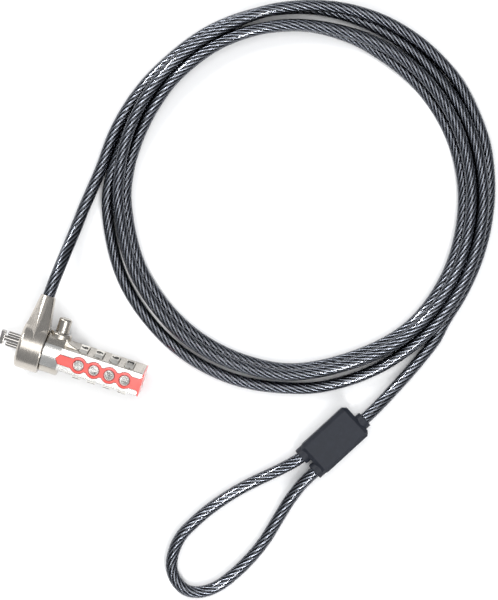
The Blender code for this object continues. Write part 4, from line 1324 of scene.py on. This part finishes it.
@dataclass
class NumberDials:
    """Four ten-sided dials, each with the digits 0 to 9 cut into its faces and filled."""

    shop: Workshop
    head: HeadFrame
    radius: float = 7.5 * MM
    width: float = 3.5 * MM
    bore: float = 4.0 * MM
    corner: float = 0.8 * MM
    digit_height: float = 2.7 * MM
    digit_relief: float = 0.03 * MM
    shown: tuple[int, ...] = (8, 1, 8, 5)

    def digit(self, text: str) -> bpy.types.Mesh:
        """A flat digit with a little thickness, centred on the origin in X and Y.

        Args:
            text: The digit.

        Returns:
            The closed mesh.
        """
        font = bpy.data.curves.new("digit", "FONT")
        font.body = text
        font.size = self.digit_height / 0.7
        font.extrude = self.digit_relief
        font.offset = 0.2 * MM
        font.resolution_u = 3
        font.align_x = "CENTER"
        source = bpy.data.objects.new("digit", font)
        bpy.context.scene.collection.objects.link(source)
        mesh = self.shop.settle(source)
        low = min(v.co.y for v in mesh.vertices)
        high = max(v.co.y for v in mesh.vertices)
        mesh.transform(Matrix.Translation((0, -(low + high) / 2, 0)))
        return mesh

    def build(self, finish: bpy.types.Material, fill: bpy.types.Material) -> None:
        """Makes each dial and its digits.

        Args:
            finish: The dials' material.
            fill: The material of the filled digits.
        """
        faces = 10
        apothem = self.radius * math.cos(math.pi / faces)
        digits = [self.digit(str(n)) for n in range(faces)]
        corners = [
            (self.radius * math.cos(a), self.radius * math.sin(a))
            for a in (TAU / 4 + math.pi / faces * (2 * k + 1) for k in range(faces))
        ]
        for i, station in enumerate(self.head.dials):
            low, high = station - self.width / 2, station + self.width / 2
            disc = self.shop.plate(rounded(corners, self.corner, 4), low, high, edge=0.22 * MM)
            hole = self.shop.turned([(low - MM, 0), (low - MM, self.bore), (high + MM, self.bore), (high + MM, 0)], 64)
            mesh = self.shop.combine(disc, [("DIFFERENCE", hole, Matrix.Identity(4))])
            name = f"number_dial_{i + 1}"
            self.shop.piece(f"{name}_ring", mesh, finish, f"dial_{i + 1}", self.head.body, [name], "dial_silver")
            bm = bmesh.new()
            for face in range(faces):
                copy = digits[(self.shown[i] + face) % faces].copy()
                turn = Matrix.Rotation(TAU * face / faces, 4, "X")
                lift = Matrix.Translation((station, 0, apothem))
                copy.transform(turn @ lift @ Matrix.Rotation(TAU / 4, 4, "Z"))
                bm.from_mesh(copy)
                bpy.data.meshes.remove(copy)
            filled = self.shop.closed(bm, "digits")
            self.shop.piece(f"{name}_digits", filled, fill, f"dial_{i + 1}", self.head.body)


# ---------------------------------------------------------------- cable


@dataclass
class CableRoute:
    """The points of the cable's centre line: millimetres, or degrees about the coil's centre."""

    coil: Point2 = (68.6, 87.8)
    lead: tuple[tuple[float, float, float], ...] = (
        (-17.35, 10.8, 10.2),
        (-17.35, 16.2, 10.2),
        (-17.1, 23.0, 10.0),
        (-16.7, 30.6, 8.5),
        (-16.3, 39.0, 5.2),
        (-15.8, 47.6, 3.1),
        (-15.3, 56.0, 2.6),
    )
    # (angle, radius, height) of the turns, which run clockwise seen from above
    turns: tuple[tuple[float, float, float], ...] = (
        (-171, 83.2, 2.55), (-180, 81.7, 2.55), (-189, 80.6, 2.55), (-202, 79.4, 2.55), (-223, 79.2, 2.55),
        (-240, 79.6, 2.55), (-254, 80.1, 2.55), (-266, 79.8, 2.55), (-278, 79.3, 2.55), (-289, 79.0, 2.55),
        (-299, 78.8, 2.6), (-308, 78.7, 3.3), (-316, 78.7, 4.3), (-324, 78.7, 5.6), (-334, 78.7, 6.7),
        (-344, 78.7, 7.2), (-354, 78.7, 7.5), (-363, 78.8, 7.5), (-372, 79.0, 7.5), (-382, 79.3, 7.1),
        (-388, 79.4, 6.3), (-396, 79.5, 4.7), (-406, 79.9, 3.2), (-418, 80.3, 2.6), (-430, 80.6, 2.55),
        (-451, 81.1, 2.55), (-472, 81.2, 2.55), (-496, 80.9, 2.55), (-520, 79.9, 2.55), (-531, 78.2, 2.55),
        (-540, 76.6, 2.55), (-549, 75.6, 2.55), (-558, 75.0, 2.55), (-567, 74.3, 2.55), (-583, 73.5, 2.55),
        (-598, 73.0, 2.55), (-614, 72.7, 2.55), (-626, 71.8, 2.55), (-638, 70.8, 2.55), (-660, 70.2, 2.55),
        (-682, 70.4, 2.55), (-704, 70.8, 2.55), (-730, 71.7, 2.55), (-755, 72.3, 2.55), (-790, 72.3, 2.55),
        (-811, 72.1, 2.55), (-832, 71.9, 2.55), (-856, 72.0, 2.55), (-880, 72.0, 2.55), (-891, 71.8, 2.6),
        (-900, 71.4, 3.4), (-909, 71.2, 4.9), (-918, 71.3, 6.0), (-927, 71.7, 6.9), (-943, 72.2, 7.4),
        (-958, 72.3, 7.5), (-974, 72.4, 7.5), (-998, 73.0, 7.5), (-1019, 73.6, 7.3), (-1041, 73.7, 7.2),
        (-1064, 73.7, 7.2), (-1090, 74.4, 7.1), (-1116, 74.6, 7.0), (-1150, 74.5, 7.0), (-1171, 74.9, 7.0),
        (-1192, 75.2, 7.0), (-1216, 75.0, 7.0), (-1240, 74.9, 7.1), (-1251, 75.1, 7.4), (-1260, 75.5, 7.5),
        (-1269, 75.8, 7.5), (-1278, 76.1, 7.5), (-1290, 76.4, 7.5), (-1303, 77.0, 7.5), (-1321, 79.0, 7.5),
        (-1334, 80.4, 7.5), (-1346, 81.8, 7.0), (-1358, 82.9, 5.9), (-1369, 83.5, 4.4), (-1379, 83.8, 3.1),
        (-1388, 83.8, 2.6), (-1404, 83.0, 2.55), (-1414, 82.2, 2.55), (-1423, 81.5, 2.55), (-1433, 80.9, 2.55),
        (-1443, 80.7, 2.55), (-1453, 80.9, 2.55), (-1462, 81.7, 2.55),
    )  # fmt: skip
    tail: tuple[tuple[float, float, float], ...] = (
        (143.1, 49.3, 2.55),
        (140.3, 41.2, 2.55),
        (137.1, 33.2, 2.55),
        (131.6, 21.0, 2.9),
        (128.0, 13.6, 4.0),
        (124.9, 8.0, 4.7),
        (122.0, 2.9, 4.7),
    )
    loop: tuple[tuple[float, float, float], ...] = (
        (107.1, -10.9, 4.7), (103.8, -16.6, 4.6), (97.6, -23.4, 3.4), (90.7, -30.0, 2.6), (84.0, -36.7, 2.6),
        (78.5, -43.2, 2.6), (73.3, -50.4, 2.6), (69.6, -56.7, 2.6), (66.6, -63.0, 2.6), (65.6, -70.0, 2.6),
        (66.7, -76.8, 2.6), (70.6, -82.0, 2.6), (76.0, -84.3, 2.6), (82.0, -83.0, 2.6), (87.9, -78.4, 2.6),
        (92.6, -71.8, 2.6), (96.8, -64.0, 2.6), (100.4, -55.0, 2.6), (102.9, -45.0, 2.6), (105.3, -35.0, 2.8),
        (108.2, -26.6, 3.7), (111.3, -20.6, 4.6), (114.3, -15.1, 4.7),
    )  # fmt: skip

    def wound(self) -> list[Vector]:
        """The turns as points.

        Returns:
            The points, in metres.
        """
        made = []
        for angle, radius, height in self.turns:
            a = math.radians(angle)
            spot = (self.coil[0] + radius * math.cos(a), self.coil[1] + radius * math.sin(a), height)
            made.append(Vector(spot) * MM)
        return made

    def main_line(self, step: float) -> list[Vector]:
        """The cable from the ferrule to the loop's sleeve.

        Args:
            step: The distance between points.

        Returns:
            Evenly spaced points.
        """
        points = [Vector(p) * MM for p in self.lead] + self.wound() + [Vector(p) * MM for p in self.tail]
        return even_curve(points, step)

    def loop_line(self, step: float) -> list[Vector]:
        """The cable of the end loop, from the sleeve and back into it.

        Args:
            step: The distance between points.

        Returns:
            Evenly spaced points.
        """
        return even_curve([Vector(p) * MM for p in self.loop], step)


def even_curve(points: Sequence[Vector], step: float) -> list[Vector]:
    """Lays a centripetal Catmull-Rom curve through points and reads it at even steps.

    Args:
        points: What the curve goes through.
        step: About how far apart the new points are.

    Returns:
        The new points, with the curve's two ends.
    """
    ends = [2 * points[0] - points[1], *points, 2 * points[-1] - points[-2]]
    fine = [points[0].copy()]
    for a, b, c, d in zip(ends, ends[1:], ends[2:], ends[3:]):
        knots = [0.0]
        for p, q in ((a, b), (b, c), (c, d)):
            knots.append(knots[-1] + max((q - p).length, 1e-9) ** 0.5)
        t0, t1, t2, t3 = knots
        for i in range(1, 25):
            t = t1 + (t2 - t1) * i / 24
            a1 = a.lerp(b, (t - t0) / (t1 - t0))
            a2 = b.lerp(c, (t - t1) / (t2 - t1))
            a3 = c.lerp(d, (t - t2) / (t3 - t2))
            b1 = a1.lerp(a2, (t - t0) / (t2 - t0))
            b2 = a2.lerp(a3, (t - t1) / (t3 - t1))
            fine.append(b1.lerp(b2, (t - t1) / (t2 - t1)))
    lengths = [0.0]
    for p, q in zip(fine, fine[1:]):
        lengths.append(lengths[-1] + (q - p).length)
    count = round(lengths[-1] / step)
    made, k = [], 0
    for i in range(count + 1):
        wanted = lengths[-1] * i / count
        while k < len(lengths) - 2 and lengths[k + 1] < wanted:
            k += 1
        share = (wanted - lengths[k]) / (lengths[k + 1] - lengths[k])
        made.append(fine[k].lerp(fine[k + 1], min(1.0, share)))
    return made


def length_of(points: Sequence[Vector]) -> float:
    """The length of a line of points."""
    return sum((b - a).length for a, b in zip(points, points[1:]))


class LayTree:
    """A Geometry Nodes tree that sweeps a grooved round section along a curve and lays its grooves in a helix."""

    def __init__(self, name: str, finish: bpy.types.Material) -> None:
        """Builds the tree.

        Args:
            name: The tree's name.
            finish: The material of what it makes.
        """
        self.tree = bpy.data.node_groups.new(name, "GeometryNodeTree")
        face = self.tree.interface
        face.new_socket("Geometry", in_out="INPUT", socket_type="NodeSocketGeometry")
        for label, kind, value in (
            ("Step", "NodeSocketFloat", 2.0 * MM),
            ("Lay Length", "NodeSocketFloat", 31.0 * MM),
            ("Radius", "NodeSocketFloat", 2.1 * MM),
            ("Groove Share", "NodeSocketFloat", 0.15),
            ("Strands", "NodeSocketInt", 12),
            ("Points", "NodeSocketInt", 5),
        ):
            made = face.new_socket(label, in_out="INPUT", socket_type=kind)
            made.default_value = value
        face.new_socket("Geometry", in_out="OUTPUT", socket_type="NodeSocketGeometry")
        self._wire(finish)

    def _add(self, kind: str, inputs: dict[int | str, object] | None = None, **settings: object) -> bpy.types.Node:
        """Adds a node.

        Args:
            kind: The node's type.
            inputs: What its sockets take: a link or a value.
            settings: The node's own settings.

        Returns:
            The node.
        """
        made = self.tree.nodes.new(kind)
        for name, value in settings.items():
            setattr(made, name, value)
        for key, value in (inputs or {}).items():
            if isinstance(value, bpy.types.NodeSocket):
                self.tree.links.new(value, made.inputs[key])
            else:
                made.inputs[key].default_value = value
        return made

    def _math(self, operation: str, *values: object) -> bpy.types.NodeSocket:
        """Adds a Math node.

        Args:
            operation: Its operation.
            values: Its values, as links or numbers.

        Returns:
            Its result.
        """
        return self._add("ShaderNodeMath", dict(enumerate(values)), operation=operation).outputs[0]

    def _wire(self, finish: bpy.types.Material) -> None:
        """Joins the tree's nodes.

        Args:
            finish: The material of what it makes.
        """
        given = self._add("NodeGroupInput").outputs
        sizes = {"Curve": given["Geometry"], "Length": given["Step"]}
        line = self._add("GeometryNodeResampleCurve", sizes, mode="LENGTH")
        run = self._add("GeometryNodeSplineParameter").outputs["Length"]
        turns = self._math("DIVIDE", run, given["Lay Length"])
        tilt = self._math("MULTIPLY", turns, TAU)
        line = self._add("GeometryNodeSetCurveTilt", {"Curve": line.outputs[0], "Tilt": tilt})
        count = self._math("MULTIPLY", given["Strands"], given["Points"])
        ring = self._add("GeometryNodeCurvePrimitiveCircle", {"Resolution": count, "Radius": given["Radius"]})
        index = self._add("GeometryNodeInputIndex").outputs[0]
        share = self._math("DIVIDE", index, given["Points"])
        crest = self._math("ABSOLUTE", self._math("COSINE", self._math("MULTIPLY", share, math.pi)))
        depth = self._math("MULTIPLY", self._math("SUBTRACT", 1.0, crest), given["Groove Share"])
        grow = self._math("SUBTRACT", 1.0, depth)
        place = self._add("GeometryNodeInputPosition").outputs[0]
        moved = self._add("ShaderNodeVectorMath", {0: place, "Scale": grow}, operation="SCALE").outputs[0]
        ring = self._add("GeometryNodeSetPosition", {"Geometry": ring.outputs[0], "Position": moved})
        ring = self._add(
            "GeometryNodeStoreNamedAttribute",
            {"Geometry": ring.outputs[0], "Name": "crest", "Value": crest},
            data_type="FLOAT",
            domain="POINT",
        )
        swept = self._add(
            "GeometryNodeCurveToMesh", {"Curve": line.outputs[0], "Profile Curve": ring.outputs[0], "Fill Caps": True}
        )
        real = self._add("GeometryNodeRealizeInstances", {"Geometry": swept.outputs[0]})
        dressed = self._add("GeometryNodeSetMaterial", {"Geometry": real.outputs[0], "Material": finish})
        self._add("NodeGroupOutput", {"Geometry": dressed.outputs[0]})

    def sweep(self, shop: Workshop, line: Sequence[Vector], sizes: dict[str, float]) -> bpy.types.Mesh:
        """Runs the tree along a line.

        Args:
            shop: What settles the result.
            line: The centre line.
            sizes: The tree's inputs by name.

        Returns:
            The plain mesh.
        """
        curve = bpy.data.curves.new("line", "CURVE")
        curve.dimensions = "3D"
        spline = curve.splines.new("POLY")
        spline.points.add(len(line) - 1)
        for point, spot in zip(spline.points, line):
            point.co = (*spot, 1.0)
        source = bpy.data.objects.new("line", curve)
        step = source.modifiers.new("lay", "NODES")
        step.node_group = self.tree
        for item in self.tree.interface.items_tree:
            if item.item_type == "SOCKET" and item.in_out == "INPUT" and item.name in sizes:
                step[item.identifier] = sizes[item.name]
        bpy.context.scene.collection.objects.link(source)
        return shop.settle(source)


@dataclass
class SteelCable:
    """Two metres of laid steel rope under a clear smoke jacket."""

    shop: Workshop
    route: CableRoute
    diameter: float = 5.0 * MM
    rope_radius: float = 2.35 * MM
    lay: float = 31.0 * MM
    groove: float = 0.2
    step: float = 2.0 * MM

    def build(
        self, steel: bpy.types.Material, jacket: bpy.types.Material, fittings: Sequence[bpy.types.Object]
    ) -> None:
        """Args:
            steel: The rope's material.
            jacket: The jacket's material.
            fittings: The sleeve and the crimp on the cable; they are not used.
        """
        rope_tree = LayTree("rope_lay", steel)
        skin_tree = LayTree("jacket_lay", jacket)
        rope_sizes = {
            "Step": self.step,
            "Lay Length": self.lay,
            "Radius": self.rope_radius,
            "Groove Share": self.groove,
            "Strands": 9,
            "Points": 7,
        }
        skin_sizes = {**rope_sizes, "Radius": self.diameter / 2, "Groove Share": 0.0, "Points": 2, "Lay Length": 1.0}
        runs: list[tuple[str, Callable[[float], list[Vector]], list[str]]] = [
            ("cable", self.route.main_line, ["cable_lead", "cable_coil", "cable_tail"]),
            ("end_loop", self.route.loop_line, ["cable_loop"]),
        ]
        for name, line_of, nodes in runs:
            line = line_of(self.step)
            rope = rope_tree.sweep(self.shop, line, rope_sizes)
            rope_piece = self.shop.piece(f"{name}_rope", rope, steel, "cable_end", slot="smoke_cable")
            skin = skin_tree.sweep(self.shop, line, skin_sizes)
            skin_piece = self.shop.piece(
                f"{name}_jacket", skin, jacket, "cable_end", stands_for=nodes, slot="smoke_cable"
            )
            length = length_of(line)
            LOG.info("%s: %.3f m of cable", name, length)
            "object" if name == "end_loop" else "fitting"
            "loose" if name == "end_loop" else "coiled"
            [rope_piece] if name == "end_loop" else [rope_piece, *fittings]


@dataclass
class LoopSleeve:
    """The black moulded sleeve over the crimp that closes the end loop."""

    shop: Workshop
    centre: tuple[float, float, float] = (115.5 * MM, -4.4 * MM, 4.7 * MM)
    turn: float = math.radians(60.5)
    size: tuple[float, float, float] = (26.0 * MM, 15.9 * MM, 9.4 * MM)
    end_bevel: float = 1.6 * MM
    neck_length: float = 2.4 * MM
    neck_radius: float = 3.75 * MM
    bore: float = 2.62 * MM
    tail_offset: float = -2.1 * MM
    leg_offset: float = 4.2 * MM

    def build(self, finish: bpy.types.Material) -> bpy.types.Object:
        """Makes the sleeve.

        Args:
            finish: Its material.

        Returns:
            The sleeve.
        """
        length, width, height = (side / 2 for side in self.size)
        form = self.shop.block((-length, -width, -height), (length, width, height), self.end_bevel, 1)
        ways = [(1, self.tail_offset), (-1, self.leg_offset), (-1, -self.leg_offset)]
        steps = []
        for side, offset in ways:
            end = side * (length + self.neck_length)
            neck = self.shop.turned(
                softened(
                    [
                        (0, 0, 0),
                        (0, self.neck_radius, 0),
                        (end, self.neck_radius - 0.15 * MM, 0.5 * MM),
                        (end, 0, 0),
                    ]
                ),
                64,
            )
            steps.append(("UNION", neck, Matrix.Translation((0, offset, 0))))
        for side, offset in ways:
            start, end = side * 4 * MM, side * (length + self.neck_length + MM)
            way = self.shop.turned([(start, 0), (start, self.bore), (end, self.bore), (end, 0)], 48)
            steps.append(("DIFFERENCE", way, Matrix.Translation((0, offset, 0))))
        mesh = self.shop.combine(form, steps, edge=0.35 * MM, limit=math.radians(28))
        place = Matrix.Translation(self.centre) @ Matrix.Rotation(self.turn, 4, "Z")
        return self.shop.piece(
            "loop_sleeve_cover", mesh, finish, "cable_end", place, ["loop_sleeve"], "black_moulding"
        )


# ---------------------------------------------------------------- studio


@dataclass
class Studio:
    """A pale floor, soft lights and the camera."""

    floor_size: float = 6.0
    view_centre: tuple[float, float, float] = (63.0 * MM, 40.5 * MM, 8.0 * MM)
    view_height: float = 252.0 * MM
    distance: float = 0.9
    turn: float = math.radians(18)

    def floor(self) -> None:
        """Makes the floor."""
        bm = bmesh.new()
        bmesh.ops.create_grid(bm, x_segments=1, y_segments=1, size=self.floor_size / 2)
        mesh = bpy.data.meshes.new("studio_floor")
        bm.to_mesh(mesh)
        bm.free()
        tree = ShaderTree("studio_white")
        surface = tree.node("ShaderNodeBsdfPrincipled", {"Base Color": (0.93, 0.93, 0.93, 1.0), "Roughness": 0.85})
        mesh.materials.append(tree.close(surface))
        floor = bpy.data.objects.new("studio_floor", mesh)
        floor.location = (0, 0, -0.0004)
        bpy.context.scene.collection.objects.link(floor)

    def light(self, name: str, place: Sequence[float], size: tuple[float, float], power: float) -> None:
        """Adds an area light that faces the object.

        Args:
            name: The light's name.
            place: Where it is.
            size: Its two sides.
            power: Its power in watts.
        """
        data = bpy.data.lights.new(name, "AREA")
        data.shape = "RECTANGLE"
        data.size, data.size_y = size
        data.energy = power
        lamp = bpy.data.objects.new(name, data)
        lamp.location = place
        aim = Vector(self.view_centre) - Vector(place)
        lamp.rotation_euler = aim.to_track_quat("-Z", "Y").to_euler()
        bpy.context.scene.collection.objects.link(lamp)

    def build(self) -> None:
        """Makes the floor, the lights, the world and the camera."""
        self.floor()
        self.light("overhead", (0.15, 0.10, 1.55), (1.1, 1.1), 11.0)
        self.light("window_left", (-0.75, 0.55, 0.75), (0.10, 0.7), 9.0)
        self.light("window_right", (0.55, -0.55, 0.85), (0.10, 0.7), 7.0)
        world = bpy.data.worlds.new("studio")
        world.use_nodes = True
        world.node_tree.nodes["Background"].inputs["Color"].default_value = (0.62, 0.64, 0.67, 1.0)
        world.node_tree.nodes["Background"].inputs["Strength"].default_value = 0.6
        bpy.context.scene.world = world
        data = bpy.data.cameras.new("camera")
        data.sensor_width = 36.0
        data.lens = data.sensor_width * self.distance / self.view_height
        data.clip_start, data.clip_end = 0.01, 20.0
        camera = bpy.data.objects.new("camera", data)
        camera.location = Vector(self.view_centre) + Vector((0, 0, self.distance))
        camera.rotation_euler = (0, 0, self.turn)
        bpy.context.scene.collection.objects.link(camera)
        bpy.context.scene.camera = camera
        bpy.context.scene.view_settings.view_transform = "Standard"


# ---------------------------------------------------------------- all of it


def dress_nodes(nodes: dict[str, bpy.types.Object], finishes: dict[str, bpy.types.Material]) -> None:
    """Gives the CAD nodes that stay, most of them inside the lock, their finish.

    Args:
        nodes: The CAD nodes by name.
        finishes: The finish for each node's name, or for the names that start with it.
    """
    for name, node in nodes.items():
        for start, finish in finishes.items():
            if name.startswith(start) and not node.hide_render:
                node.data.materials.clear()
                node.data.materials.append(finish)
                LOG.info("%s: %s", name, finish.name)


def main() -> None:
    """Builds the studio, the lock and the cable."""
    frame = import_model()
    Studio().build()

    shop, head = Workshop(), HeadFrame()
    satin_ring = Metal("satin_nickel_ring", (0.54, 0.50, 0.45), 0.27, Grain.AROUND_X).build()
    satin_body = Metal("satin_nickel_body", (0.50, 0.465, 0.415), 0.27, Grain.ALONG_X).build()
    satin_button = Metal("satin_nickel_button", (0.50, 0.465, 0.415), 0.24, Grain.ALONG_Y).build()
    bright = Metal("bright_nickel", (0.86, 0.84, 0.80), 0.24, Grain.ALONG_X, 0.18, 0.03).build()
    polished = Metal("polished_steel", (0.42, 0.40, 0.38), 0.16, Grain.ALONG_X, 0.10, 0.03).build()
    dial_silver = Metal("dial_silver", (0.86, 0.83, 0.77), 0.34, Grain.AROUND_X, 0.2).build()
    plain_steel = Metal("plain_steel", (0.50, 0.50, 0.51), 0.34, Grain.BLASTED).build()
    brass = Metal("machined_brass", (0.72, 0.53, 0.26), 0.32, Grain.AROUND_X).build()
    aluminium = Metal("pressed_aluminium", (0.75, 0.76, 0.77), 0.38, Grain.BLASTED).build()
    coral = Enamel("coral_red", (0.86, 0.105, 0.085), (0.72, 0.07, 0.06), 0.30).build()
    # dark red painted as shade, for the border round the strip and the rims round its windows
    painted_shade_coral = Enamel("painted_shade_coral", (0.28, 0.018, 0.016), (0.20, 0.012, 0.012), 0.4).build()
    fill = Moulding("digit_fill", (0.012, 0.011, 0.010), (0.03, 0.028, 0.025), 0.5, 0.1).build()
    black = Moulding("black_washer", (0.012, 0.012, 0.013), (0.03, 0.03, 0.03), 0.55).build()
    rubber = Moulding("black_moulding", (0.010, 0.012, 0.018), (0.028, 0.032, 0.044), 0.5).build()

    sleeve = LoopSleeve(shop).build(rubber)
    fittings = [sleeve, frame["nodes"]["loop_crimp"]]
    SteelCable(shop, CableRoute()).build(StrandSteel().build(), ClearJacket().build(), fittings)
    SwivelCollar(shop, head).build(satin_ring, black)
    Nose(shop, head).build(bright, polished)
    body = LockBody(shop, head)
    body.housing(satin_body)
    body.cover(bright)
    body.strip(coral, painted_shade_coral)
    body.end_cap(satin_body)
    PushButton(shop, head).build(satin_button, plain_steel, plain_steel)
    NumberDials(shop, head).build(dial_silver, fill)
    dress_nodes(
        frame["nodes"],
        {
            "code_sleeve": brass,
            "spindle_bush": brass,
            "loop_crimp": aluminium,
            "button_": plain_steel,
            "cable_stop": plain_steel,
            "code_shaft": plain_steel,
            "cover_dowel": plain_steel,
            "detent_leaf": plain_steel,
            "end_cap_screw": plain_steel,
            "shaft_spring": plain_steel,
            "spring_bridge": plain_steel,
            "t_bar_pinion": plain_steel,
        },
    )
    LOG.info("%d pieces made", len(shop.made))


if __name__ == "__main__":
    logging.basicConfig(level=logging.INFO, format="%(name)s %(message)s")
    main()
